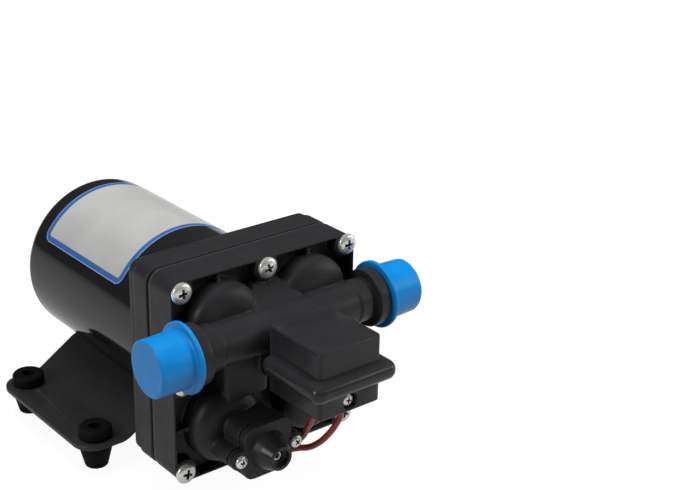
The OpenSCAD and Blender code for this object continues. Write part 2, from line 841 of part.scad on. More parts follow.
module switch_cover() {
    inner_w = switch_w - 2 * switch_wall;
    color([0.19, 0.19, 0.2]) at_switch() difference() {
        union() {
            switch_flange(base_top, cover_bottom);
            raised(cover_bottom - bury, switch_top)
                switch_plan(-switch_ahead, cover_rear, switch_w, switch_corner_r);
        }
        raised(base_top - over, switch_top - switch_wall)
            switch_plan(-switch_ahead + switch_wall, cover_rear - switch_wall, inner_w,
                switch_corner_r - 1.2);
    }
}

module switch_adjusting_screw() {
    color([0.8, 0.8, 0.78]) at_switch() translate([0, -switch_ahead + recess_in - running_gap, switch_axis_z])
        pan_screw(adjust_head_r, adjust_head_h, adjust_r, 6);
}

module switch_spring() {
    spring_front = -switch_ahead + recess_in - running_gap + 6;
    color([0.7, 0.7, 0.72]) at_switch() translate([0, 0, switch_axis_z])
        coil_spring(2.8, 0.5, spring_front + 0.1, plunger_front - 0.1, 3);
}

module switch_plunger() {
    color([0.85, 0.85, 0.8]) at_switch() {
        translate([0, 0, switch_axis_z]) rod_y(plunger_r, plunger_front, plunger_rear);
        block([-post_w / 2, post_w / 2], [post_front, post_front + post_w], [switch_axis_z, post_top]);
    }
}

module switch_diaphragm() {
    disc_rear = switch_rear - neck_spigot_len;
    color([0.1, 0.1, 0.1]) at_switch() translate([0, 0, switch_axis_z])
        rod_y(sensing_disc_r, disc_rear - 1, disc_rear);
}

module microswitch() {
    color([0.25, 0.1, 0.1]) at_switch() difference() {
        block([-microswitch_size[0] / 2, microswitch_size[0] / 2],
            [microswitch_rear - microswitch_size[1], microswitch_rear],
            [base_top, base_top + microswitch_size[2]]);
        translate([0, 0, base_top + button_up])
            rod_y(button_r + slip, microswitch_rear - button_guide, microswitch_rear + over);
    }
}

module microswitch_button() {
    color([0.9, 0.85, 0.2]) at_switch() translate([0, 0, base_top + button_up])
        rod_y(button_r, microswitch_rear - button_in, microswitch_rear + button_len);
}

// Bypass valve

module bypass_cover() {
    rear = -bypass_ahead + bypass_cover_t;
    color([0.16, 0.16, 0.17]) at_head() difference() {
        union() {
            plate_y(-bypass_ahead, rear) bypass_outline();
            translate([adjuster_x, tower_front, adjuster_z]) rotate([-90, 0, 0])
                cylinder(r1 = spring_tower_end_r, r2 = spring_tower_r, h = spring_tower_len + bury);
        }
        translate([adjuster_x, 0, adjuster_z]) {
            rod_y(adjuster_recess_r, tower_front - over, adjuster_front + 0.6);
            rod_y(adjust_r + slip, tower_front, rear);
            rod_y(poppet_bore_r, spring_space_front, rear + over);
        }
        at_bypass_screws() rod_y(bypass_screw_r + screw_slip, -bypass_ahead - over, rear + over);
    }
}

module bypass_screws() {
    color([0.8, 0.8, 0.78]) at_head() at_bypass_screws() translate([0, -bypass_ahead, 0])
        pan_screw(bypass_screw_head_r, bypass_screw_head_h, bypass_screw_r, bypass_screw_len);
}

module bypass_gasket() {
    color([0.1, 0.1, 0.1]) at_head() difference() {
        plate_y(bypass_body_front - gasket_t, bypass_body_front) bypass_outline();
        translate([adjuster_x, 0, adjuster_z]) rod_y(poppet_bore_r, -bypass_ahead, bypass_body_front + over);
        at_bypass_screws() rod_y(bypass_screw_r + screw_slip, -bypass_ahead, bypass_body_front + over);
    }
}

module bypass_adjusting_screw() {
    color([0.8, 0.8, 0.78]) at_head() translate([adjuster_x, adjuster_front, adjuster_z]) difference() {
        rod_y(adjust_r, 0, adjuster_len);
        rotate([-90, 0, 0]) translate([0, 0, -over]) cylinder(r = adjust_r * 0.55, h = 3, $fn = 6);
    }
}

module bypass_spring() {
    color([0.7, 0.7, 0.72]) at_head() translate([adjuster_x, 0, adjuster_z])
        coil_spring(2.4, 0.4, adjuster_front + adjuster_len + 0.1, poppet_front - 0.1, 7);
}

module bypass_poppet() {
    color([0.85, 0.85, 0.8]) at_head() translate([adjuster_x, 0, adjuster_z])
        rod_y(poppet_r, poppet_front, poppet_rear);
}

// Wobble drive

module on_cam() { at_head() translate([0, cam_y, 0]) rotate([cam_tilt, 0, 0]) children(); }

module wobble_plate() {
    color([0.85, 0.83, 0.78]) on_cam() difference() {
        union() {
            rod_y(hub_r, -cam_bearing_w / 2 - 0.5, cam_bearing_w / 2);
            plate_y(-wobble_t / 2, wobble_t / 2) for (sx = [-1, 1], sz = [-1, 1]) {
                translate([sx * chamber_x, sz * chamber_z]) circle(arm_end_r);
                rotate(sx * sz * atan2(chamber_z, chamber_x))
                    square([2 * norm([chamber_x, chamber_z]), arm_w], center = true);
            }
        }
        rod_y(bearing_r, -cam_bearing_w / 2, cam_bearing_w / 2 + over);
        rod_y(bearing_r - 2, -cam_bearing_w, cam_bearing_w);
        at_chambers() rod_y(piston_screw_r + slip, -wobble_t, wobble_t / 2 - 0.2);
    }
}

module ring_bearing(outer_r, inner_r, w) {
    difference() {
        rod_y(outer_r, 0, w);
        rod_y(inner_r, -over, w + over);
    }
}

module cam_bearing() {
    color([0.7, 0.7, 0.72]) on_cam() translate([0, -cam_bearing_w / 2, 0])
        ring_bearing(bearing_r, cam_r + slip, cam_bearing_w);
}

module piston_pads() {
    pad_front = -wobble_t / 2 - pad_t;
    color([0.3, 0.3, 0.32]) on_cam() at_chambers() difference() {
        rod_y(pad_r, pad_front, -wobble_t / 2);
        rod_y(piston_screw_r + slip, pad_front - over, wobble_t);
        rod_y(piston_screw_head_r + slip, pad_front - over, pad_front + piston_screw_head_h);
    }
}

module piston_screws() {
    pad_front = -wobble_t / 2 - pad_t;
    color([0.8, 0.8, 0.78]) on_cam() at_chambers() {
        rod_y(piston_screw_head_r, pad_front + 0.1, pad_front + piston_screw_head_h);
        rod_y(piston_screw_r, pad_front + 0.1, wobble_t / 2 - 0.4);
    }
}

module drive_cam() {
    color([0.75, 0.75, 0.7]) difference() {
        on_cam() {
            rod_y(cam_r, -cam_bearing_w / 2, cam_bearing_w / 2 + 0.3);
            rod_y(cam_flange_r, cam_bearing_w / 2 + 0.1, cam_bearing_w / 2 + 0.1 + cam_flange_t);
        }
        at_head() rod_y(shaft_r + slip, shaft_front - over, head_depth);
    }
}

// Motor

module at_bolts() { for (side = [-1, 1]) translate([0, 0, side * bolt_ring]) children(); }

// Half section of a cup that is closed at the far end, with a rounded edge
module cup_section(r, len, edge) {
    square([r, len - edge]);
    square([r - edge, len]);
    translate([r - edge, len - edge]) circle(edge);
}

module motor_can() {
    color([0.06, 0.06, 0.07]) at_motor() difference() {
        union() {
            rotate([-90, 0, 0]) rotate_extrude() difference() {
                cup_section(can_r, can_len, can_edge_r);
                translate([0, -over])
                    cup_section(can_in_r, can_len - can_wall + over, max(0.5, can_edge_r - can_wall));
            }
            rod_y(rear_hub_r, rear_bearing_at - 0.5, can_len - can_wall + bury);
            rod_y(rear_boss_r, can_len - bury, can_len + rear_boss_h);
        }
        rod_y(rear_bearing_r, rear_bearing_at - over, rear_bearing_at + rear_bearing_w);
        rod_y(shaft_r + 1, rear_bearing_at, can_len - can_wall);
        at_bolts() rod_y(bolt_r + slip, can_len - 2 * can_wall, can_len + over);
        translate([grommet_x, grommet_y - head_depth, -can_r - over])
            cylinder(r = 4, h = can_wall + 2 * over);
        at_bracket_screws() cylinder(r = bracket_screw_r + slip, h = bracket_screw_len + over);
    }
}

// The bracket screws' places under the can, from the can's open end
module at_bracket_screws() {
    for (side = [-1, 1])
        translate([0, side * bracket_screw_y - can_front_y, -can_r - 0.1 - base_t]) children();
}

module motor_label() {
    color([0.8, 0.82, 0.85]) at_motor() translate([0, label_gap, 0]) rotate([-90, 0, 0])
        rotate([0, 0, 270 - label_arc / 2]) rotate_extrude(angle = label_arc)
            translate([can_r, 0]) square([label_t, label_len]);
}

module end_bell() {
    color([0.4, 0.4, 0.42]) at_motor() difference() {
        union() {
            rod_y(can_in_r - slip, 0, bell_t);
            rod_y(bell_hub_r, -rear_wall, bell_hub_len);
        }
        rod_y(bearing_r, front_bearing_at, bell_hub_len + over);
        rod_y(shaft_r + 2, -rear_wall - over, bell_t);
        at_bolts() rod_y(bolt_r + slip, -over, bell_t + over);
    }
}

module front_bearing() {
    color([0.7, 0.7, 0.72]) at_motor() translate([0, front_bearing_at, 0])
        ring_bearing(bearing_r, shaft_r + slip, bearing_w);
}

module rear_bearing() {
    color([0.7, 0.7, 0.72]) at_motor() translate([0, rear_bearing_at, 0])
        ring_bearing(rear_bearing_r, shaft_r + slip, rear_bearing_w);
}

module motor_shaft() {
    color([0.75, 0.75, 0.77]) at_head() rod_y(shaft_r, shaft_front, head_depth + shaft_rear);
}

module armature_core() {
    color([0.5, 0.5, 0.52]) at_motor() plate_y(core_at, core_at + core_len) difference() {
        circle(core_r);
        circle(shaft_r + slip);
        for (k = [0:slot_count - 1]) rotate(360 * k / slot_count)
            translate([slot_floor_r, -slot_w / 2]) square([core_r, slot_w]);
    }
}

module armature_windings() {
    outer = core_r - 3;
    color([0.72, 0.42, 0.2]) at_motor() for (at = [core_at - winding_w, core_at + core_len])
        translate([0, at, 0]) rotate([-90, 0, 0]) rotate_extrude()
            translate([(outer + winding_in_r) / 2, winding_w / 2])
                rounded_rect(outer - winding_in_r, winding_w, 2.5);
}

module commutator() {
    color([0.75, 0.5, 0.3]) at_motor() plate_y(commutator_at, commutator_at + commutator_len) difference() {
        circle(commutator_r);
        circle(shaft_r + slip);
        for (k = [0:slot_count - 1]) rotate(360 * k / slot_count)
            translate([commutator_r - 1.5, -bar_slit / 2]) square([3, bar_slit]);
    }
}

module field_magnets() {
    color([0.3, 0.3, 0.3]) at_motor() translate([0, core_at - magnet_over, 0]) rotate([-90, 0, 0])
        for (side = [0, 180]) rotate([0, 0, side - magnet_arc / 2]) rotate_extrude(angle = magnet_arc)
            translate([magnet_in_r, 0]) square([can_in_r - magnet_in_r, core_len + 2 * magnet_over]);
}

module at_brushes() { at_motor() for (side = [0, 1]) mirror([side, 0, 0]) children(); }

brush_y = commutator_at + commutator_len / 2;

module brush_holders() {
    from = holder_in_r;
    to = holder_in_r + holder_size[0];
    half = [(brush_size[1] + 2 * brush_slip) / 2, (brush_size[2] + 2 * brush_slip) / 2];
    color([0.8, 0.65, 0.3]) at_brushes() difference() {
        union() {
            block([from, to], [brush_y - holder_size[1] / 2, brush_y + holder_size[1] / 2],
                [-holder_size[2] / 2, holder_size[2] / 2]);
            block([from + 5, to], [bell_t, brush_y], [-holder_size[2] / 2, holder_size[2] / 2]);
        }
        block([from - over, to - holder_end_t], [brush_y - half[0], brush_y + half[0]], [-half[1], half[1]]);
    }
}

module carbon_brushes() {
    start = commutator_r + brush_slip;
    color([0.15, 0.15, 0.15]) at_brushes()
        block([start, start + brush_size[0]], [brush_y - brush_size[1] / 2, brush_y + brush_size[1] / 2],
            [-brush_size[2] / 2, brush_size[2] / 2]);
}

module brush_springs() {
    start = commutator_r + brush_slip + brush_size[0] + brush_slip;
    end = holder_in_r + holder_size[0] - holder_end_t - brush_slip;
    color([0.7, 0.7, 0.72]) at_brushes() translate([0, brush_y, 0]) rotate([0, 0, -90])
        coil_spring(brush_spring_r, brush_wire_r, start, end, 4);
}

module motor_bolts() {
    len = can_len + rear_wall;
    color([0.75, 0.75, 0.75]) at_motor() at_bolts() translate([0, can_len, 0]) rotate([0, 0, 180])
        pan_screw(bolt_head_r, bolt_head_h, bolt_r, len);
}

// Switch leads

module lead_grommet() {
    top = -can_r + can_wall;
    color([0.1, 0.1, 0.1]) at_head() difference() {
        translate([grommet_x, grommet_y, 0]) {
            translate([0, 0, -can_r - 2]) cylinder(r = 5.5, h = 1.9);
            translate([0, 0, -can_r - 1]) cylinder(r = 4 - slip, h = can_wall + 1);
        }
        for (route = [lead_left_route, lead_right_route])
            translate([route[len(route) - 1][0], grommet_y, -can_r - 3])
                cylinder(r = lead_r + slip, h = top + can_r + 4);
    }
}

module switch_lead_left() {
    color([0.6, 0.08, 0.08]) at_head() tube(lead_left_route, lead_r, lead_sides, [1, 0, 0]);
}

module switch_lead_right() {
    color([0.6, 0.08, 0.08]) at_head() tube(lead_right_route, lead_r, lead_sides, [1, 0, 0]);
}

// Base and feet

// Upper line of the right half of the base, as x, z and its slope
function bend_points(x, z, turn_from, turn_to) = [for (k = [0:bend_steps])
    let (a = turn_from + (turn_to - turn_from) * k / bend_steps, s = turn_to > turn_from ? 1 : -1)
    [x + s * bend_r * (sin(a) - sin(turn_from)), z - s * bend_r * (cos(a) - cos(turn_from)), a]];
base_line = concat(
    [[0, deck_top, 0]],
    bend_points(deck_half - bend_run, deck_top, 0, -wall_slope),
    bend_points(
        wall_foot_x - bend_run * cos(wall_slope), flange_top + bend_run * sin(wall_slope), -wall_slope, 0),
    [[base_w / 2, flange_top, 0]]
);
function lower(p) = [p[0] + base_t * sin(p[2]), p[1] - base_t * cos(p[2])];

// The whole section: the upper line from left to right, then the lower line back
module base_section() {
    n = len(base_line) - 1;
    top = [for (p = base_line) [p[0], p[1]]];
    low = [for (p = base_line) lower(p)];
    polygon(concat(
        [for (i = [n:-1:1]) [-top[i][0], top[i][1]]], top,
        [for (i = [n:-1:0]) low[i]], [for (i = [1:n]) [-low[i][0], low[i][1]]]
    ));
}

module base_bracket() {
    color([0.12, 0.12, 0.12]) difference() {
        intersection() {
            translate([0, base_len / 2, 0]) rotate([90, 0, 0]) linear_extrude(base_len) base_section();
            linear_extrude(axis_z) rounded_rect(base_w, base_len, base_corner_r);
        }
        for (sx = [-1, 1], sy = [-1, 1]) translate([sx * foot_pitch_x / 2, sy * foot_pitch_y / 2, 0])
            cylinder(r = foot_neck_r + slip, h = flange_top + over);
        at_motor() at_bracket_screws() translate([0, 0, -over])
            cylinder(r = bracket_screw_r + slip, h = base_t + 2 * over);
    }
}

module bracket_screws() {
    color([0.75, 0.75, 0.75]) at_motor() at_bracket_screws() rotate([90, 0, 0])
        pan_screw(bracket_screw_head_r, bracket_screw_head_h, bracket_screw_r, bracket_screw_len);
}

module rubber_foot(sx, sy) {
    under = flange_top - base_t;
    ring_top = flange_top + foot_ring_h;
    color([0.1, 0.1, 0.1]) translate([sx * foot_pitch_x / 2, sy * foot_pitch_y / 2, 0]) rotate_extrude()
        polygon([
            [foot_hole_r, 0], [foot_floor_r - 1, 0], [foot_floor_r, 1],
            [foot_top_r, under - 2], [foot_top_r, under],
            [foot_neck_r, under], [foot_neck_r, flange_top], [foot_ring_r, flange_top],
            [foot_ring_r, ring_top - 1.2], [foot_ring_r - 1.2, ring_top], [foot_hole_r, ring_top]
        ]);
}

module foot_front_left() { rubber_foot(-1, -1); }

module foot_front_right() { rubber_foot(1, -1); }

module foot_rear_left() { rubber_foot(-1, 1); }

module foot_rear_right() { rubber_foot(1, 1); }

front_cover();
valve_plate();
valve_seal();
inlet_valves();
outlet_valve();
diaphragm();
rear_housing();
head_screws();
inlet_fitting();
outlet_fitting();
port_seals();
inlet_cap();
outlet_cap();
switch_base();
switch_cover();
switch_adjusting_screw();
switch_spring();
switch_plunger();
switch_diaphragm();
microswitch();
microswitch_button();
bypass_cover();
bypass_screws();
bypass_gasket();
bypass_poppet();
bypass_spring();
bypass_adjusting_screw();
wobble_plate();
cam_bearing();
piston_pads();
piston_screws();
drive_cam();
motor_can();
motor_label();
end_bell();
front_bearing();
rear_bearing();
motor_shaft();
armature_core();
armature_windings();
commutator();
field_magnets();
brush_holders();
carbon_brushes();
brush_springs();
motor_bolts();
lead_grommet();
switch_lead_left();
switch_lead_right();
base_bracket();
bracket_screws();
foot_front_left();
foot_front_right();
foot_rear_left();
foot_rear_right();
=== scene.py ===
"""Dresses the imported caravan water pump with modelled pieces, finishes and a plain studio.

Sizes are in millimetres and are turned into metres where a mesh is made. Every piece keeps the place of the
CAD node that it stands for: X runs across the ports, Y from the pump head to the motor's closed end, Z up.
"""
from __future__ import annotations

import json
import logging
from contextlib import contextmanager
from dataclasses import dataclass, field
from enum import Enum
from math import ceil, cos, pi, radians, sin, sqrt, tan
from typing import Any, Callable, Iterator, Sequence

import bmesh
import bpy
from mathutils import Matrix, Vector

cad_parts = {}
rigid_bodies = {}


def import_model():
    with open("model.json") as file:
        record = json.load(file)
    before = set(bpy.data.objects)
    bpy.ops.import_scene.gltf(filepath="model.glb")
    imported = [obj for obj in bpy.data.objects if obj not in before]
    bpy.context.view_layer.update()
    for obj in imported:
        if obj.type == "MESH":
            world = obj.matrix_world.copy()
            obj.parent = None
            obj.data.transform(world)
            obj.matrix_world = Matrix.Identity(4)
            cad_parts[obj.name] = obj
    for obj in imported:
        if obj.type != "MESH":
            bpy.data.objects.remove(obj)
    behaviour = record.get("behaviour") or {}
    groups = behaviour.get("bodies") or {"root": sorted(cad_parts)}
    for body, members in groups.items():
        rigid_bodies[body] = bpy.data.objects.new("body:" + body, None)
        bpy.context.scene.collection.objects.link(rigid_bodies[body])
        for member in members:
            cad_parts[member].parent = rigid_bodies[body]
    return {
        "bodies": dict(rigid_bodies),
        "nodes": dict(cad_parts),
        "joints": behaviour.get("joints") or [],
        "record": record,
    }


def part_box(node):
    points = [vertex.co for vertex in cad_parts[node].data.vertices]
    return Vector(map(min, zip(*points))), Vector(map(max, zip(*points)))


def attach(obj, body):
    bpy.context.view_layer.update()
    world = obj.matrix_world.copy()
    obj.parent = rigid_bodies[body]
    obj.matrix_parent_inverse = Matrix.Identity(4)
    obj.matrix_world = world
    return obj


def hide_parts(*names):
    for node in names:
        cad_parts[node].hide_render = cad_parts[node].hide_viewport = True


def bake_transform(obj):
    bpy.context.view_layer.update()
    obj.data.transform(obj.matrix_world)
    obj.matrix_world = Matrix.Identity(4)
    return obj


MM = 0.001
ORIGIN = (0.0, 0.0, 0.0)
WHITE = (1.0, 1.0, 1.0, 1.0)

# Points that lie closer than this are merged
MERGE = 0.002

# A cutting tool reaches this far past what it cuts
CLEAR = 1.0

# Where the two screws between the bracket and the can lie along Y, and the radius of their holes
BRACKET_SCREWS = (-20.0, 20.0)
BRACKET_HOLE = 2.45

# Millimetres to one unit of the label's map
LABEL_UNIT = 100.0

# The moulded pieces ahead of this place along Y are smoother than the head
POLISHED_AHEAD = -133.0

# Linear colours of the painted shade in hollows and of dust
HOLLOW_SHADE = (0.012, 0.012, 0.012)
DUST_COLOUR = (0.32, 0.31, 0.29)

log = logging.getLogger("water_pump")

Point = Sequence[float]
Outline = list[tuple[float, float]]
Object = bpy.types.Object
Socket = bpy.types.NodeSocket


class Axis(Enum):
    """The direction that a turned piece or a rod runs along."""

    X = 0
    Y = 1
    Z = 2


class Pick(Enum):
    """What is selected in edit mode."""

    EDGES = "EDGE"
    FACES = "FACE"
    VERTS = "VERT"


class Join(Enum):
    """How one solid is combined with another."""

    CUT = "DIFFERENCE"
    FUSE = "UNION"


# Bench: modelling with Blender's own operators


def deselect() -> None:
    """Clears the selection, which holds the CAD nodes after loading."""
    bpy.ops.object.select_all(action="DESELECT")


def activate(piece: Object) -> None:
    """Makes one piece the only selected and active object.

    Args:
        piece: The piece.
    """
    deselect()
    piece.select_set(True)
    bpy.context.view_layer.objects.active = piece


def named(name: str) -> Object:
    """Names the primitive just added and applies its place.

    Args:
        name: The new piece's name.

    Returns:
        The piece, at the origin with its place in its mesh.
    """
    piece = bpy.context.object
    piece.name = name
    piece.data.name = name
    bpy.ops.object.transform_apply(location=True, rotation=True, scale=True)
    return piece


@contextmanager
def editing(piece: Object, pick: Pick = Pick.FACES) -> Iterator[None]:
    """Opens a piece in edit mode with nothing selected.

    Args:
        piece: The piece to edit.
        pick: The kind of element that gets selected.
    """
    activate(piece)
    bpy.ops.object.mode_set(mode="EDIT")
    bpy.ops.mesh.select_mode(type=pick.value)
    bpy.ops.mesh.select_all(action="DESELECT")
    yield
    bpy.ops.object.mode_set(mode="OBJECT")


def choose(piece: Object, pick: Pick, test: Callable[[Any], bool]) -> None:
    """Selects the elements that pass a test of their place or normal, in edit mode.

    Args:
        piece: The piece in edit mode.
        pick: The kind of element.
        test: Takes an element and says whether it is wanted.
    """
    mesh = bmesh.from_edit_mesh(piece.data)
    parts = {Pick.EDGES: mesh.edges, Pick.FACES: mesh.faces, Pick.VERTS: mesh.verts}[pick]
    wanted = [part for part in parts if test(part)]
    for part in wanted:
        part.select_set(True)
    bmesh.update_edit_mesh(piece.data)


def metres(point: Point) -> list[float]:
    """Turns a point in millimetres into metres."""
    return [value * MM for value in point]


def runs_along(edge: Any, axis: Axis) -> bool:
    """Says whether an edge runs along an axis."""
    return abs((edge.verts[0].co - edge.verts[1].co).normalized()[axis.value]) > 0.99


def modify(piece: Object, kind: str, **settings: Any) -> None:
    """Adds a modifier to a piece and applies it.

    Args:
        piece: The piece.
        kind: The modifier's type.
        **settings: Its properties.
    """
    activate(piece)
    modifier = piece.modifiers.new(kind.lower(), kind)
    for key, value in settings.items():
        setattr(modifier, key, value)
    bpy.ops.object.modifier_apply(modifier=modifier.name)


def combine(piece: Object, way: Join, *tools: Object) -> None:
    """Cuts tools out of a piece, or fuses them to it, and removes them.

    Args:
        piece: The piece.
        way: Whether the tools are cut out or fused.
        *tools: The closed solids that do it.
    """
    for tool in tools:
        modify(piece, "BOOLEAN", operation=way.value, object=tool, solver="EXACT")
        bpy.data.objects.remove(tool)


def smooth(piece: Object, angle: float = 32) -> None:
    """Shades a piece smooth where its faces meet under an angle in degrees."""
    activate(piece)
    bpy.ops.object.shade_smooth_by_angle(angle=radians(angle))


def soften(piece: Object, width: float, segments: int = 2, angle: float = 40) -> None:
    """Rounds a piece's sharp edges and shades it.

    Args:
        piece: The piece.
        width: The rounding's width in millimetres.
        segments: How many faces a rounding has.
        angle: The angle in degrees from which an edge is sharp.
    """
    modify(piece, "BEVEL", width=width * MM, segments=segments, limit_method="ANGLE",
           angle_limit=radians(angle), harden_normals=False, use_clamp_overlap=True)
    smooth(piece)


def joined(name: str, pieces: Sequence[Object]) -> Object:
    """Joins pieces into one object.

    Args:
        name: The joined piece's name.
        pieces: The pieces.

    Returns:
        The joined piece.
    """
    activate(pieces[0])
    for piece in pieces:
        piece.select_set(True)
    bpy.ops.object.join()
    piece = bpy.context.object
    piece.name = name
    return piece


def copy_of(piece: Object, name: str) -> Object:
    """Copies a piece with a mesh of its own.

    Args:
        piece: The piece or CAD node to copy.
        name: The copy's name.

    Returns:
        The copy, on no body.
    """
    copy = bpy.data.objects.new(name, piece.data.copy())
    bpy.context.scene.collection.objects.link(copy)
    return copy


def box(name: str, low: Point, high: Point) -> Object:
    """Adds a block between two corners.

    Args:
        name: Its name.
        low: Its lowest corner in millimetres.
        high: Its highest corner.

    Returns:
        The block.
    """
    deselect()
    middle = metres([(a + b) / 2 for a, b in zip(low, high)])
    size = metres([b - a for a, b in zip(low, high)])
    bpy.ops.mesh.primitive_cube_add(size=1, location=middle, scale=size)
    return named(name)


def round_edges(piece: Object, radius: float, segments: int, test: Callable[[Any], bool]) -> None:
    """Rounds the edges that pass a test, in edit mode, and leaves nothing selected.

    Args:
        piece: The piece in edit mode.
        radius: The rounding's radius in millimetres.
        segments: How many faces a rounding has.
        test: Takes an edge and says whether it is wanted.
    """
    choose(piece, Pick.EDGES, test)
    bpy.ops.mesh.bevel(offset=radius * MM, segments=segments, affect="EDGES")
    bpy.ops.mesh.select_all(action="DESELECT")


def sheet(name: str, size: Point, corner: float, segments: int, folds: Sequence[float]) -> Object:
    """Cuts a flat sheet with round corners, and lines across it where it will fold.

    Args:
        name: Its name.
        size: Its width and length.
        corner: The radius of its corners.
        segments: How many sides a corner has.
        folds: Where the lines lie across its width, from its middle.

    Returns:
        The sheet, flat at height zero.
    """
    deselect()
    bpy.ops.mesh.primitive_plane_add(size=1)
    bpy.ops.transform.resize(value=(size[0] * MM, size[1] * MM, 1.0))
    piece = named(name)
    with editing(piece, Pick.VERTS):
        bpy.ops.mesh.select_all(action="SELECT")
        bpy.ops.mesh.bevel(offset=corner * MM, segments=segments, affect="VERTICES")
        for fold in folds:
            bpy.ops.mesh.select_all(action="SELECT")
            bpy.ops.mesh.bisect(plane_co=(fold * MM, 0.0, 0.0), plane_no=(1.0, 0.0, 0.0))
    return piece


def rod(name: str, radius: float, axis: Axis, start: float, end: float, centre: Point,
        sides: int = 48) -> Object:
    """Adds a round rod.

    Args:
        name: Its name.
        radius: Its radius in millimetres.
        axis: The direction it runs along.
        start: Where it starts on that axis.
        end: Where it ends on that axis.
        centre: A point on its middle line.
        sides: How many sides it has.

    Returns:
        The rod.
    """
    deselect()
    place = metres(centre)
    place[axis.value] = (start + end) / 2 * MM
    turn = {Axis.X: (0, pi / 2, 0), Axis.Y: (pi / 2, 0, 0), Axis.Z: (0, 0, 0)}[axis]
    bpy.ops.mesh.primitive_cylinder_add(vertices=sides, radius=radius * MM, depth=abs(end - start) * MM,
                                        location=place, rotation=turn)
    return named(name)


def rounded(corners: Sequence[Point], steps: int) -> Outline:
    """Rounds the corners of a closed outline.

    Args:
        corners: Points as (across, along) or (across, along, corner radius).
        steps: How many straight pieces each rounding has.

    Returns:
        The outline's points.
    """
    outline: Outline = []
    count = len(corners)
    for index, corner in enumerate(corners):
        here = Vector(corner[:2])
        radius = corner[2] if len(corner) > 2 else 0.0
        before = Vector(corners[index - 1][:2]) - here
        after = Vector(corners[(index + 1) % count][:2]) - here
        if radius <= 0:
            outline.append((here.x, here.y))
            continue
        half = before.angle(after) / 2
        reach = radius / tan(half)
        start = here + before.normalized() * reach
        end = here + after.normalized() * reach
        hub = here + (before.normalized() + after.normalized()).normalized() * (radius / sin(half))
        for step in range(steps + 1):
            spoke = (start - hub).lerp(end - hub, step / steps).normalized() * radius
            outline.append((hub.x + spoke.x, hub.y + spoke.y))
    return outline


def spaced(outline: Outline, longest: float) -> Outline:
    """Adds points to a closed outline so that no side is longer than a length.

    Args:
        outline: The outline's points.
        longest: The length.

    Returns:
        The outline with the points added.
    """
    result: Outline = []
    for index, start in enumerate(outline):
        end = outline[(index + 1) % len(outline)]
        length = sqrt((end[0] - start[0]) ** 2 + (end[1] - start[1]) ** 2)
        parts = max(1, ceil(length / longest))
        for part in range(parts):
            share = part / parts
            result.append((start[0] + (end[0] - start[0]) * share, start[1] + (end[1] - start[1]) * share))
    return result


def drawn(name: str, points: Sequence[Point]) -> Object:
    """Draws a closed line through points by extruding one vertex.

    Args:
        name: The line's name.
        points: The points in millimetres.

    Returns:
        The line as an object.
    """
    deselect()
    bpy.ops.mesh.primitive_plane_add(size=MM)
    piece = named(name)
    with editing(piece, Pick.VERTS):
        bpy.ops.mesh.select_all(action="SELECT")
        bpy.ops.mesh.merge(type="CENTER")
        bpy.ops.transform.translate(value=metres(points[0]))
        for start, end in zip(points, points[1:]):
            step = metres([b - a for a, b in zip(start, end)])
            bpy.ops.mesh.extrude_vertices_move(TRANSFORM_OT_translate={"value": step})
        bpy.ops.mesh.select_all(action="DESELECT")
        choose(piece, Pick.VERTS, lambda vert: len(vert.link_edges) < 2)
        bpy.ops.mesh.edge_face_add()
    return piece


def turned(name: str, outline: Outline, axis: Axis, centre: Point, steps: int) -> Object:
    """Spins a closed outline about an axis into a solid.

    Args:
        name: The piece's name.
        outline: Points as (radius, distance along the axis) in millimetres.
        axis: The axis.
        centre: A point on the axis.
        steps: How many steps the spin takes.

    Returns:
        The turned piece.
    """
    points = []
    for radius, along in outline:
        point = list(centre)
        point[axis.value] = along
        point[0 if axis is Axis.Z else 2] += radius
        points.append(point)
    piece = drawn(name, points)
    with editing(piece, Pick.VERTS):
        bpy.ops.mesh.select_all(action="SELECT")
        bpy.ops.mesh.spin(steps=steps, angle=2 * pi, center=metres(centre),
                          axis=[1.0 if index == axis.value else 0.0 for index in range(3)])
        bpy.ops.mesh.select_all(action="SELECT")
        bpy.ops.mesh.remove_doubles(threshold=MERGE * MM)
        bpy.ops.mesh.dissolve_degenerate(threshold=MERGE / 2 * MM)
        bpy.ops.mesh.select_all(action="SELECT")
        bpy.ops.mesh.normals_make_consistent(inside=False)
    smooth(piece)
    return piece


def wound(name: str, profile: Sequence[Point], axis: Axis, pitch: float, turns: int, place: Point) -> Object:
    """Sweeps a closed profile along a helix.

    Args:
        name: The piece's name.
        profile: The profile's points in millimetres, with the axis through the origin.
        axis: The helix's axis.
        pitch: How far it runs along the axis in one turn.
        turns: How many turns it has.
        place: Where it is moved to.

    Returns:
        The wound piece, closed at both ends.
    """
    piece = drawn(name, profile)
    modify(piece, "SCREW", axis=axis.name, steps=40, render_steps=40, iterations=turns, angle=2 * pi,
           screw_offset=pitch * MM, use_merge_vertices=False)
    with editing(piece, Pick.EDGES):
        bpy.ops.mesh.select_non_manifold(extend=False)
        bpy.ops.mesh.edge_face_add()
        bpy.ops.mesh.select_all(action="SELECT")
        bpy.ops.mesh.normals_make_consistent(inside=False)
        bpy.ops.transform.translate(value=metres(place))
    return piece


def merged(node: Object, name: str) -> Object:
    """Copies a CAD node and merges its loose triangles.

    Args:
        node: The CAD node.
        name: The copy's name.

    Returns:
        The copy.
    """
    piece = copy_of(node, name)
    piece.data.materials.clear()
    with editing(piece, Pick.VERTS):
        bpy.ops.mesh.select_all(action="SELECT")
        bpy.ops.mesh.remove_doubles(threshold=MERGE * MM)
    return piece


@dataclass(frozen=True)
class Skin:
    """How a moulded piece gets one skin.

    Attributes:
        voxel: The size of the remeshing grid in millimetres.
        rounds: How often the skin is smoothed.
        faces: About how many triangles are kept.
    """

    voxel: float
    rounds: int
    faces: int


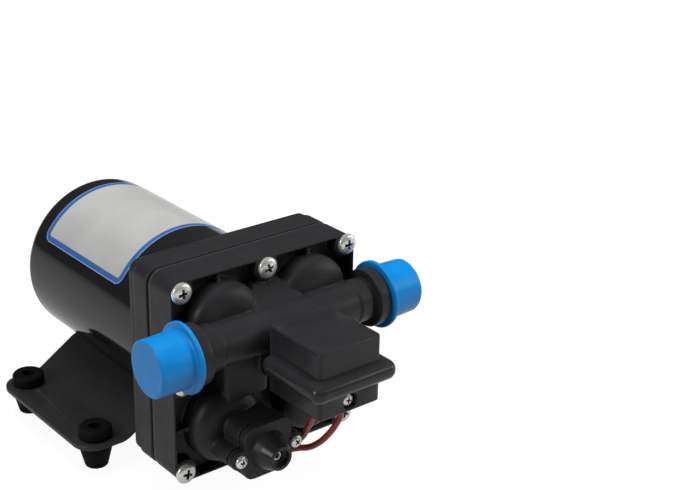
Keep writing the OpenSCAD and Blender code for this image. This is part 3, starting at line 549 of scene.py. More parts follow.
def moulded(piece: Object, skin: Skin) -> Object:
    """Gives a piece one skin with softly rounded edges, as moulding does.

    Args:
        piece: The piece, of one or more closed solids that overlap.
        skin: How fine and how soft the skin is.

    Returns:
        The moulded piece.
    """
    modify(piece, "REMESH", mode="VOXEL", voxel_size=skin.voxel * MM, use_smooth_shade=True)
    modify(piece, "SMOOTH", factor=0.5, iterations=skin.rounds)
    share = min(1.0, skin.faces / 2 / len(piece.data.polygons))
    modify(piece, "DECIMATE", decimate_type="COLLAPSE", ratio=share)
    activate(piece)
    bpy.ops.object.shade_smooth()
    return piece


# Finishes: shader node groups and materials


class Effect(Enum):
    """A shared surface effect, made once as a shader node group."""

    GRAIN = "surface_grain"
    MOTTLE = "colour_mottle"
    WEAR = "edge_wear"
    # Painted shade, laid into hollows
    HOLLOW = "hollow_shade"
    DUST = "dust_film"
    LATHE = "turning_marks"


class Graph:
    """A node tree with short ways to add and link nodes."""

    def __init__(self, tree: bpy.types.NodeTree) -> None:
        """Takes the tree and clears it."""
        self.tree = tree
        tree.nodes.clear()

    def feed(self, socket: Socket, value: Any) -> None:
        """Links another socket to an input, or sets a plain value on it.

        Args:
            socket: The input.
            value: The socket or the value that it gets.
        """
        if isinstance(value, Socket):
            self.tree.links.new(value, socket)
        else:
            socket.default_value = value

    def add(self, kind: str, inputs: dict[Any, Any] | None = None, **settings: Any) -> bpy.types.Node:
        """Adds a node.

        Args:
            kind: The node's type, without the leading ShaderNode.
            inputs: Values or sockets for its inputs, by name or number.
            **settings: Its properties.

        Returns:
            The node.
        """
        node = self.tree.nodes.new(kind if kind.startswith("NodeGroup") else "ShaderNode" + kind)
        for key, value in settings.items():
            setattr(node, key, value)
        for key, value in (inputs or {}).items():
            self.feed(node.inputs[key], value)
        return node

    def math(self, operation: str, *values: Any) -> Socket:
        """Adds a math node and gives its output."""
        return self.add("Math", dict(enumerate(values)), operation=operation).outputs[0]

    def noise(self, scale: Any, detail: float, roughness: float) -> Socket:
        """Adds a noise on Object coordinates.

        Args:
            scale: Its scale per metre.
            detail: How many finer noises it holds.
            roughness: How strong these are.

        Returns:
            Its value.
        """
        where = self.add("TexCoord").outputs["Object"]
        inputs = {"Vector": where, "Scale": scale, "Detail": detail, "Roughness": roughness}
        return self.add("TexNoise", inputs).outputs["Fac"]

    def spread(self, value: Any, low: float, high: float, to_low: Any = 0.0, to_high: Any = 1.0) -> Socket:
        """Maps a value from one range to another and gives the result."""
        inputs = {"Value": value, "From Min": low, "From Max": high, "To Min": to_low, "To Max": to_high}
        return self.add("MapRange", inputs).outputs["Result"]

    def blend(self, share: Any, first: Any, second: Any) -> Socket:
        """Mixes two colours and gives the result."""
        return self.add("Mix", {"Factor": share, 6: first, 7: second}, data_type="RGBA").outputs[2]

    def effect(self, effect: Effect, **inputs: Any) -> bpy.types.Node:
        """Places a shared effect with its own values."""
        values = {key.title(): value for key, value in inputs.items()}
        return self.add("Group", values, node_tree=bpy.data.node_groups[effect.value])

    def mottle(self, base: Point, accent: Point, scale: float) -> Socket:
        """Places the mottle between two colours and gives its colour."""
        inputs = {"base": opaque(base), "accent": opaque(accent), "scale": scale}
        return self.effect(Effect.MOTTLE, **inputs).outputs["Color"]

    def put_out(self, shader: bpy.types.Node, kind: str = "OutputMaterial") -> None:
        """Links a shader to the tree's output."""
        self.add(kind, {"Surface": shader.outputs[0]})

    def surface(self, colour: Socket, rough: Socket, height: Socket, bump: Point,
                plain: dict[str, float]) -> None:
        """Adds the material's shader with a bump, and puts it out.

        Args:
            colour: The base colour.
            rough: The roughness.
            height: The bump's height.
            bump: The bump's strength, and how high it stands in millimetres.
            plain: Values that are the same all over the surface, by input name.
        """
        inputs = {"Height": height, "Strength": bump[0], "Distance": bump[1] * MM}
        relief = self.add("Bump", inputs).outputs[0]
        inputs = {"Base Color": colour, "Roughness": rough, "Normal": relief}
        self.put_out(self.add("BsdfPrincipled", inputs | plain))


class Effects:
    """Builds the shared effects as shader node groups."""

    def build(self) -> None:
        """Builds them all."""
        self.grain()
        self.mottle()
        self.overlay(Effect.WEAR, self.rubbed_edges)
        self.overlay(Effect.HOLLOW, self.hollows)
        self.overlay(Effect.DUST, self.upward_faces)
        self.lathe()

    @staticmethod
    def start(effect: Effect, inputs: dict[str, str], outputs: dict[str, str]) -> tuple[Graph, Any, Any]:
        """Starts a group with named sockets.

        Args:
            effect: The effect.
            inputs: Input names with their kinds, Float or Color.
            outputs: Output names with their kinds.

        Returns:
            The graph, the sockets that the group is given and those that it puts out.
        """
        tree = bpy.data.node_groups.new(effect.value, "ShaderNodeTree")
        for way, sockets in (("INPUT", inputs), ("OUTPUT", outputs)):
            for name, kind in sockets.items():
                tree.interface.new_socket(name=name, in_out=way, socket_type="NodeSocket" + kind)
        graph = Graph(tree)
        return graph, graph.add("NodeGroupInput").outputs, graph.add("NodeGroupOutput").inputs

    def grain(self) -> None:
        """Fine pits and pimples, with a roughness that drifts over the surface."""
        numbers = {"Scale": "Float", "Smooth": "Float", "Rough": "Float"}
        graph, given, result = self.start(Effect.GRAIN, numbers, {"Height": "Float", "Roughness": "Float"})
        fine = graph.noise(given["Scale"], 4.0, 0.6)
        broad = graph.noise(graph.math("MULTIPLY", given["Scale"], 0.06), 4.0, 0.6)
        share = graph.math("ADD", graph.math("MULTIPLY", fine, 0.35), graph.math("MULTIPLY", broad, 0.65))
        graph.feed(result["Height"], fine)
        graph.feed(result["Roughness"], graph.spread(share, 0.35, 0.65, given["Smooth"], given["Rough"]))

    def mottle(self) -> None:
        """A slow drift between two close colours."""
        sockets = {"Base": "Color", "Accent": "Color", "Scale": "Float"}
        graph, given, result = self.start(Effect.MOTTLE, sockets, {"Color": "Color"})
        share = graph.spread(graph.noise(given["Scale"], 5.0, 0.62), 0.32, 0.7)
        graph.feed(result["Color"], graph.blend(share, given["Base"], given["Accent"]))

    def overlay(self, effect: Effect, mask: Callable[[Graph], Socket]) -> None:
        """Lays one colour over another.

        Args:
            effect: The effect.
            mask: Adds the nodes that say where the upper colour shows, and gives their output.
        """
        sockets = {"Color": "Color", "Layer": "Color", "Amount": "Float"}
        graph, given, result = self.start(effect, sockets, {"Color": "Color"})
        share = graph.math("MULTIPLY", mask(graph), given["Amount"])
        graph.feed(result["Color"], graph.blend(share, given["Color"], given["Layer"]))

    @staticmethod
    def rubbed_edges(graph: Graph) -> Socket:
        """Finds outer edges, broken up by a noise.

        Args:
            graph: The group's graph.

        Returns:
            The mask.
        """
        edge = graph.spread(graph.add("NewGeometry").outputs["Pointiness"], 0.515, 0.6)
        patchy = graph.spread(graph.noise(420.0, 4.0, 0.6), 0.3, 0.75, 0.25)
        return graph.math("MULTIPLY", edge, patchy)

    @staticmethod
    def hollows(graph: Graph) -> Socket:
        """Finds hollows, such as a screw's cross recess, where shade is painted."""
        return graph.spread(graph.add("NewGeometry").outputs["Pointiness"], 0.5, 0.44)

    @staticmethod
    def upward_faces(graph: Graph) -> Socket:
        """Finds faces that look up, broken up by a noise.

        Args:
            graph: The group's graph.

        Returns:
            The mask.
        """
        up = graph.add("SeparateXYZ", {0: graph.add("NewGeometry").outputs["Normal"]}).outputs["Z"]
        cloud = graph.spread(graph.noise(90.0, 6.0, 0.65), 0.3, 0.75, 0.2)
        return graph.math("MULTIPLY", graph.spread(up, 0.2, 1.0), cloud)

    def lathe(self) -> None:
        """Fine parallel tool marks across the motor axis."""
        graph, given, result = self.start(Effect.LATHE, {"Scale": "Float"}, {"Height": "Float"})
        where = graph.add("TexCoord").outputs["Object"]
        stretch = graph.add("Mapping", {"Vector": where, "Scale": (1.0, 22.0, 1.0)}).outputs[0]
        marks = graph.add("TexNoise", {"Vector": stretch, "Scale": given["Scale"], "Detail": 2.0})
        graph.feed(result["Height"], marks.outputs["Fac"])


def opaque(colour: Point) -> tuple[float, float, float, float]:
    """Adds full opacity to a colour."""
    return (colour[0], colour[1], colour[2], 1.0)


def new_material(name: str) -> tuple[bpy.types.Material, Graph]:
    """Starts a material.

    Args:
        name: Its name.

    Returns:
        The material and its cleared graph.
    """
    material = bpy.data.materials.new(name)
    material.use_nodes = True
    return material, Graph(material.node_tree)


@dataclass(frozen=True)
class Finish:
    """A procedural finish for one of the record's material slots.

    Attributes:
        slot: The slot's name.
        base: The main linear colour.
        accent: The colour that the mottle drifts to.
        rough: The lowest and the highest roughness.
        grain: The grain's scale per metre.
        relief: The grain's height in millimetres.
        metallic: How far the surface is bare metal.
        worn: The colour of rubbed edges.
        wear: How far edges are rubbed.
        hollow: How far hollows are darkened with painted shade.
        dust: How far upward faces are dusted.
        sheen: The weight of a soft sheen.
        specular: How strongly the surface mirrors light.
        lathe: The scale of turning marks, or nothing for none.
        polish: How rough the pieces ahead of the head's face are, as a share of the rest.
    """

    slot: str
    base: Point
    accent: Point
    rough: Point
    grain: float = 900.0
    relief: float = 0.02
    metallic: float = 0.0
    worn: Point = (0.12, 0.12, 0.12)
    wear: float = 0.0
    hollow: float = 0.0
    dust: float = 0.0
    sheen: float = 0.0
    specular: float = 0.5
    lathe: float = 0.0
    polish: float = 1.0

    def colour(self, graph: Graph) -> Socket:
        """Lays the mottle, the wear, the painted shade in hollows and the dust over each other.

        Args:
            graph: The material's graph.

        Returns:
            The colour.
        """
        colour = graph.mottle(self.base, self.accent, 70.0)
        # Wear and dust are the surface's own colour; the hollows get painted shade.
        layers = ((Effect.WEAR, self.wear, self.worn), (Effect.HOLLOW, self.hollow, HOLLOW_SHADE),
                  (Effect.DUST, self.dust, DUST_COLOUR))
        for effect, amount, layer in layers:
            if amount:
                inputs = {"color": colour, "layer": opaque(layer), "amount": amount}
                colour = graph.effect(effect, **inputs).outputs["Color"]
        return colour

    def roughness(self, graph: Graph, rough: Socket) -> Socket:
        """Lowers the roughness on the smoother pieces ahead of the head's face.

        Args:
            graph: The material's graph.
            rough: The roughness that the grain gives.

        Returns:
            The roughness.
        """
        if self.polish == 1.0:
            return rough
        along = graph.add("SeparateXYZ", {0: graph.add("TexCoord").outputs["Object"]}).outputs["Y"]
        share = graph.spread(along, POLISHED_AHEAD * MM, (POLISHED_AHEAD + 1.0) * MM, self.polish)
        return graph.math("MULTIPLY", rough, share)

    def build(self) -> bpy.types.Material:
        """Builds the material.

        Returns:
            The material.
        """
        material, graph = new_material(self.slot)
        grain = graph.effect(Effect.GRAIN, scale=self.grain, smooth=self.rough[0], rough=self.rough[1])
        height = grain.outputs["Height"]
        if self.lathe:
            marks = graph.effect(Effect.LATHE, scale=self.lathe).outputs["Height"]
            height = graph.math("ADD", height, graph.math("MULTIPLY", marks, 1.5))
        rough = self.roughness(graph, grain.outputs["Roughness"])
        plain = {"Metallic": self.metallic, "Sheen Weight": self.sheen, "Specular IOR Level": self.specular}
        graph.surface(self.colour(graph), rough, height, (0.6, self.relief), plain)
        return material


FINISHES = (
    Finish("satin_black_plastic", (0.016, 0.016, 0.0175), (0.02, 0.02, 0.0218), (0.38, 0.5), 1500.0, 0.03,
           worn=(0.07, 0.07, 0.073), wear=0.45, dust=0.012, specular=0.28, polish=0.5),
    Finish("gloss_black_paint", (0.008, 0.008, 0.009), (0.011, 0.011, 0.012), (0.07, 0.12), 300.0, 0.006,
           worn=(0.05, 0.05, 0.05), wear=0.2, dust=0.01, specular=0.36),
    Finish("satin_black_paint", (0.0165, 0.0165, 0.017), (0.021, 0.021, 0.0215), (0.3, 0.42), 1100.0, 0.025,
           worn=(0.08, 0.08, 0.08), wear=0.5, dust=0.015, specular=0.35),
    Finish("blue_plastic", (0.001, 0.18, 0.5), (0.003, 0.21, 0.56), (0.28, 0.4), 260.0, 0.03,
           worn=(0.05, 0.3, 0.7), wear=0.4, dust=0.006, specular=0.32),
    # The stainless steel gets painted shade in its screws' cross recesses.
    Finish("stainless_steel", (0.84, 0.83, 0.8), (0.74, 0.73, 0.7), (0.2, 0.34), 900.0, 0.012, metallic=0.7,
           worn=(0.9, 0.89, 0.87), wear=0.5, hollow=1.0),
    Finish("spring_steel", (0.5, 0.5, 0.51), (0.42, 0.42, 0.44), (0.22, 0.36), 900.0, 0.01, metallic=1.0),
    Finish("bearing_steel", (0.6, 0.6, 0.62), (0.52, 0.52, 0.54), (0.14, 0.26), 900.0, 0.008, metallic=1.0,
           lathe=380.0),
    Finish("black_rubber", (0.003, 0.003, 0.003), (0.005, 0.005, 0.0048), (0.6, 0.8), 1300.0, 0.03,
           worn=(0.03, 0.03, 0.03), wear=0.3, dust=0.006, specular=0.1),
    Finish("valve_rubber", (0.4, 0.1, 0.06), (0.46, 0.13, 0.08), (0.55, 0.7), 900.0, 0.02),
    Finish("white_plastic", (0.7, 0.69, 0.65), (0.76, 0.75, 0.71), (0.38, 0.5), 1100.0, 0.02),
    Finish("dark_plastic", (0.05, 0.02, 0.02), (0.07, 0.028, 0.028), (0.36, 0.5), 1100.0, 0.02),
    Finish("cast_alloy", (0.52, 0.52, 0.52), (0.62, 0.62, 0.62), (0.34, 0.55), 700.0, 0.04, metallic=1.0),
    Finish("core_steel", (0.26, 0.26, 0.27), (0.33, 0.33, 0.34), (0.34, 0.5), 700.0, 0.03, metallic=1.0,
           lathe=700.0),
    Finish("copper", (0.5, 0.2, 0.08), (0.58, 0.26, 0.11), (0.26, 0.42), 800.0, 0.03, metallic=1.0,
           lathe=500.0),
    Finish("ferrite", (0.06, 0.06, 0.062), (0.085, 0.085, 0.088), (0.5, 0.7), 1300.0, 0.03),
    Finish("brush_brass", (0.6, 0.43, 0.14), (0.66, 0.5, 0.2), (0.24, 0.4), 800.0, 0.012, metallic=1.0),
    Finish("carbon", (0.02, 0.02, 0.02), (0.03, 0.03, 0.03), (0.5, 0.7), 1500.0, 0.03),
    Finish("red_insulation", (0.24, 0.015, 0.02), (0.3, 0.024, 0.03), (0.28, 0.42), 700.0, 0.015, sheen=0.05),
)


@dataclass(frozen=True)
class LabelFinish:
    """The motor's label: a pale silver film with a blue border, and nothing printed inside it.

    Attributes:
        half: Half the label's size in millimetres, round the can and along it.
        corner: The radius of its corners.
        line: The width of the pale line at its edge.
        border: The width of the blue border, with the line.
        blur: How far the border's inner edge is blurred to each side.
        silver: The two linear colours that the film drifts between.
        blue: The two that the border drifts between.
        pale: The line's colour.
        slot: The label's slot.
    """

    half: tuple[float, float]
    corner: float
    line: float = 0.45
    border: float = 3.1
    blur: float = 0.15
    silver: tuple[Point, Point] = ((0.38, 0.385, 0.37), (0.43, 0.435, 0.42))
    blue: tuple[Point, Point] = ((0.032, 0.1, 0.3), (0.04, 0.115, 0.33))
    pale: Point = (0.2, 0.33, 0.62)
    slot: str = "silver_label"

    def inside(self, graph: Graph) -> Socket:
        """Measures on the label's own map how far a place lies inside its rounded outline.

        Args:
            graph: The material's graph.

        Returns:
            The distance in millimetres.
        """
        spot = graph.add("SeparateXYZ", {0: graph.add("UVMap", uv_map="label").outputs[0]})
        over = []
        for axis in (0, 1):
            across = graph.math("ABSOLUTE", graph.math("MULTIPLY", spot.outputs[axis], LABEL_UNIT))
            over.append(graph.math("SUBTRACT", across, self.half[axis] - self.corner))
        square = [graph.math("POWER", graph.math("MAXIMUM", side, 0.0), 2.0) for side in over]
        round_part = graph.math("SQRT", graph.math("ADD", *square))
        flat_part = graph.math("MINIMUM", graph.math("MAXIMUM", *over), 0.0)
        return graph.math("SUBTRACT", self.corner, graph.math("ADD", round_part, flat_part))

    def build(self) -> bpy.types.Material:
        """Builds the label's material.

        Returns:
            The material.
        """
        material, graph = new_material(self.slot)
        silver = graph.mottle(*self.silver, 45.0)
        blue = graph.mottle(*self.blue, 160.0)
        depth = self.inside(graph)
        in_line = graph.math("LESS_THAN", depth, self.line)
        in_border = graph.spread(depth, self.border - self.blur, self.border + self.blur, 1.0, 0.0)
        colour = graph.blend(in_line, graph.blend(in_border, silver, blue), opaque(self.pale))
        grain = graph.effect(Effect.GRAIN, scale=1600.0, smooth=0.3, rough=0.42).outputs
        plain = {"Coat Weight": 0.2, "Coat Roughness": 0.15}
        graph.surface(colour, grain["Roughness"], grain["Height"], (0.3, 0.008), plain)
        return material


@dataclass
class Workshop:
    """The loaded frame with its finishes, which seats each finished piece.

    Attributes:
        finishes: Materials by slot.
        slots: Each node's slot.
        bodies: Each node's body.
    """

    frame: dict[str, Any]
    finishes: dict[str, bpy.types.Material] = field(default_factory=dict)
    slots: dict[str, str] = field(default_factory=dict)
    bodies: dict[str, str] = field(default_factory=dict)

    def prepare(self) -> None:
        """Builds the finishes and reads which slot and body each node has."""
        Effects().build()
        self.finishes = {finish.slot: finish.build() for finish in FINISHES}
        record = self.frame["record"]
        self.slots = {part["node"]: part["material_slot"] for part in record["subparts"]}
        for body, nodes in record["behaviour"]["bodies"].items():
            self.bodies.update({node: body for node in nodes})

    def node(self, name: str) -> Object:
        """Gives a CAD node's object."""
        return self.frame["nodes"][name]

    def span(self, node: str) -> tuple[list[float], list[float]]:
        """Gives a node's lowest and highest corners in millimetres."""
        low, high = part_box(node)
        return [value / MM for value in low], [value / MM for value in high]

    def seat(self, piece: Object, node: str, pressed: str | None = None) -> None:
        """Gives a piece its finish, body and slot, and lets it stand for a node.

        Args:
            piece: The finished piece.
            node: The node that it replaces.
            pressed: The body that the piece presses, where it presses one; such a piece is put on no body.
        """
        piece.name = node + "_dressed"
        piece.data.materials.clear()
        piece.data.materials.append(self.finishes[self.slots[node]])
        if pressed:
            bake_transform(piece)
        else:
            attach(piece, self.bodies[node])
        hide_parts(node)
        faces = len(piece.data.polygons) if piece.type == "MESH" else 0
        log.info("%s: %d faces on %s", piece.name, faces, self.bodies[node])

    def dress_nodes(self, names: Sequence[str]) -> None:
        """Gives CAD nodes that keep their own shape their procedural finish.

        Args:
            names: The nodes.
        """
        for name in names:
            for place in self.node(name).material_slots:
                place.material = self.finishes[self.slots[name]]
            log.info("%s: CAD shape kept", name)


# Sub-assemblies


@dataclass(frozen=True)
class CrossScrews:
    """A group of pan-head screws with a cross recess, modelled once and copied.

    Attributes:
        head_radius: Radius of the head.
        head_height: Height of the head.
        shank_radius: Radius of the shank.
        shank_length: Length of the shank.
        skirt: The straight share of the head's height.
        bar: Half the length and half the width of the recess's bars, as shares of the head's radius.
        floor: The share of the head's height that is left under the recess.
        above: How far the cutting bars stand above the head.
        taper: How far the bars narrow to the recess's floor, in length and width.
        turns: The first screw's turn, and each next one's further turn, in degrees.
    """

    head_radius: float
    head_height: float
    shank_radius: float
    shank_length: float
    skirt: float = 0.34
    bar: tuple[float, float] = (0.62, 0.17)
    floor: float = 0.3
    above: float = 0.6
    taper: tuple[float, float] = (0.45, 0.6)
    turns: tuple[float, float] = (12.0, 37.0)

    def outline(self) -> Outline:
        """Gives the screw's half section, with the seat of its head at zero.

        Returns:
            The section's points.
        """
        skirt = self.skirt * self.head_height
        crown = self.head_height - skirt
        dome = [(self.head_radius * cos(turn), -skirt - crown * sin(turn))
                for turn in (pi / 2 * step / 9 for step in range(9, -1, -1))]
        dome[0] = (0.0, -self.head_height)
        shank = [(self.head_radius * 0.97, 0.0), (self.shank_radius, 0.0),
                 (self.shank_radius, self.shank_length - 0.8), (self.shank_radius - 0.7, self.shank_length),
                 (0.0, self.shank_length)]
        return dome + shank

    def recess(self, turn: float) -> Object:
        """Makes one tapered bar of the cross recess.

        Args:
            turn: Its turn about the screw's axis.

        Returns:
            The bar.
        """
        half, thick = (share * self.head_radius for share in self.bar)
        low = (-half, -self.head_height - self.above, -thick)
        bar = box("recess_bar", low, (half, -self.floor * self.head_height, thick))
        with editing(bar):
            choose(bar, Pick.FACES, lambda face: face.normal.y > 0.9)
            bpy.ops.transform.resize(value=(self.taper[0], 1.0, self.taper[1]), center_override=ORIGIN)
            bpy.ops.mesh.select_all(action="SELECT")
            bpy.ops.transform.rotate(value=turn, orient_axis="Y", center_override=ORIGIN)
        return bar

    def master(self) -> Object:
        """Models one screw at the origin, its shank along +Y.

        Returns:
            The screw.
        """
        screw = turned("cross_screw", self.outline(), Axis.Y, ORIGIN, 40)
        combine(screw, Join.CUT, self.recess(0.0), self.recess(pi / 2))
        smooth(screw, 35)
        return screw

    def group(self, name: str, places: Sequence[Point], frame: Matrix | None = None) -> Object:
        """Copies the screw to its places, each copy turned its own way.

        Args:
            name: The joined piece's name.
            places: Where each head seats, in millimetres.
            frame: The direction of the shanks, where it isn't +Y.

        Returns:
            The joined screws.
        """
        first = self.master()
        copies = [first] + [copy_of(first, "cross_screw") for _ in places[1:]]
        for index, (screw, place) in enumerate(zip(copies, places)):
            turn = Matrix.Rotation(radians(self.turns[1] * index + self.turns[0]), 4, "Y")
            at = Matrix.Translation(metres(place))
            screw.data.transform(at @ (frame or Matrix.Identity(4)) @ turn)
        return joined(name, copies)


@dataclass
class PumpHead:
    """The moulded head with its screws.

    Attributes:
        shop: The workshop.
        skin: The front cover's skin.
        rear_skin: The rear housing's skin.
        front: Where the head's front rim lies along Y.
        half: Half the head's width and height.
        corner: The radius of the head's corners.
        axis_up: Height of the motor axis.
        recess: Depth of the recess behind the rim.
        rim: Width of the rim that shows.
        solid_rim: Width of the rim on the CAD solid.
        rim_lap: How far the cut that thins the rim runs past the solid's rim.
        screws: The head's screws.
        screw_seats: How far the screws lie from the middle, across and up.
        boss: Radius of the boss round each screw.
        dome_place: How far the domes lie from the middle, across and up.
        dome_radius: Radius of a dome.
        dome_rise: How far a dome stands out past the rim.
        dome_foot: How far a dome's foot sinks into the recess's floor, and how far it draws in there.
        fullness: How full a dome's curve is, where two makes it an ellipse.
        rib_place: How far the ribs beside the domes lie from the middle, across and up.
        rib: Thickness of a rib.
        rib_depth: How far a rib lies behind the rim, and how far it sinks into the recess's floor.
        rib_lap: How far a rib's outer end runs over the rib on the solid, and ends inside the head's outline.
    """

    shop: Workshop
    skin: Skin = Skin(0.5, 4, 180000)
    rear_skin: Skin = Skin(0.6, 2, 70000)
    front: float = -104.5
    half: tuple[float, float] = (51.0, 50.0)
    corner: float = 7.0
    axis_up: float = 72.5
    recess: float = 6.0
    rim: float = 1.4
    solid_rim: float = 4.0
    rim_lap: float = 0.2
    screws: CrossScrews = CrossScrews(5.0, 2.8, 2.0, 29.0)
    screw_seats: tuple[float, float] = (46.0, 45.0)
    boss: float = 6.4
    dome_place: tuple[float, float] = (24.5, 25.8)
    dome_radius: float = 18.6
    dome_rise: float = 8.9
    dome_foot: float = 0.5
    fullness: float = 2.7
    rib_place: tuple[float, float] = (25.0, 24.0)
    rib: float = 2.2
    rib_depth: tuple[float, float] = (1.5, 0.3)
    rib_lap: tuple[float, float] = (1.0, 0.6)

    def build(self) -> None:
        """Builds and dresses the head."""
        seat = self.shop.seat
        seat(self.cover(), "front_cover")
        housing = merged(self.shop.node("rear_housing"), "rear_housing")
        seat(moulded(housing, self.rear_skin), "rear_housing")
        seat(self.screws.group("head_screws", self.screw_places()), "head_screws")
        self.shop.dress_nodes(("valve_plate", "diaphragm"))

    def screw_places(self) -> list[tuple[float, float, float]]:
        """Finds the seats of the eight screws round the head's rim.

        Returns:
            The seats.
        """
        across, up = self.screw_seats
        spots = [(x, z) for x in (-1, 0, 1) for z in (-1, 0, 1) if x or z]
        return [(x * across, self.front, self.axis_up + z * up) for x, z in spots]

    def cover(self) -> Object:
        """Moulds the front cover, with its rim thinned and its domes filled out.

        Returns:
            The cover.
        """
        piece = merged(self.shop.node("front_cover"), "front_cover")
        combine(piece, Join.CUT, self.rim_cut())
        added = [self.dome(across, up) for across in (-1, 1) for up in (-1, 1)]
        return moulded(joined("front_cover", [piece, *added, *self.rib_ends()]), self.skin)

    def block(self, name: str, inset: float, start: float, end: float) -> Object:
        """Makes a block of the head's outline.

        Args:
            name: The block's name.
            inset: How far it stays inside the head's outline.
            start: Where it starts behind the rim.
            end: Where it ends behind the rim.

        Returns:
            The block.
        """
        half_x, half_z = self.half[0] - inset, self.half[1] - inset
        low = (-half_x, self.front + start, self.axis_up - half_z)
        high = (half_x, self.front + end, self.axis_up + half_z)
        piece = box(name, low, high)
        with editing(piece, Pick.EDGES):
            round_edges(piece, self.corner - inset, 8, lambda line: runs_along(line, Axis.Y))
        return piece

    def rim_cut(self) -> Object:
        """Makes the ring that thins the rim, clear of the screws' bosses.

        Returns:
            The ring.
        """
        ring = self.block("rim_cut", self.rim, -CLEAR, self.recess)
        start, end = -2 * CLEAR, self.recess + CLEAR
        core = self.block("rim_core", self.solid_rim + self.rim_lap, start, end)
        ends = (self.front + start, self.front + end)
        bosses = [rod("boss", self.boss, Axis.Y, *ends, place) for place in self.screw_places()]
        combine(ring, Join.CUT, core, *bosses)
        return ring

    def dome(self, across: int, up: int) -> Object:
        """Turns one chamber dome, a drum with a softly curved front.

        Args:
            across: Minus one for a left dome and one for a right one.
            up: Minus one for a lower dome and one for an upper one.

        Returns:
            The dome.
        """
        outline = []
        for step in range(14, -1, -1):
            share = step / 14
            radius = self.dome_radius * (1 - share ** self.fullness) ** (1 / self.fullness)
            outline.append((radius, self.front - self.dome_rise * share))
        foot = self.front + self.recess + self.dome_foot
        outline += [(self.dome_radius - self.dome_foot, foot), (0.0, foot)]
        centre = (across * self.dome_place[0], 0.0, self.axis_up + up * self.dome_place[1])
        return turned("dome", outline, Axis.Y, centre, 72)

    def rib_ends(self) -> list[Object]:
        """Makes the outer ends of the ribs that run from the domes to the rim.

        Returns:
            The ends.
        """
        ends = []
        thick = self.rib / 2
        lap, inset = self.rib_lap
        span = (self.front + self.rib_depth[0], self.front + self.recess + self.rib_depth[1])
        for side in (-1, 1):
            reach, rise = (sorted((side * (half - self.solid_rim - lap), side * (half - inset)))
                           for half in self.half)
            for other in (-1, 1):
                at = self.axis_up + other * self.rib_place[1]
                ends.append(box("rib_end", (reach[0], span[0], at - thick), (reach[1], span[1], at + thick)))
                at = other * self.rib_place[0]
                low = (at - thick, span[0], self.axis_up + rise[0])
                ends.append(box("rib_end", low, (at + thick, span[1], self.axis_up + rise[1])))
        return ends


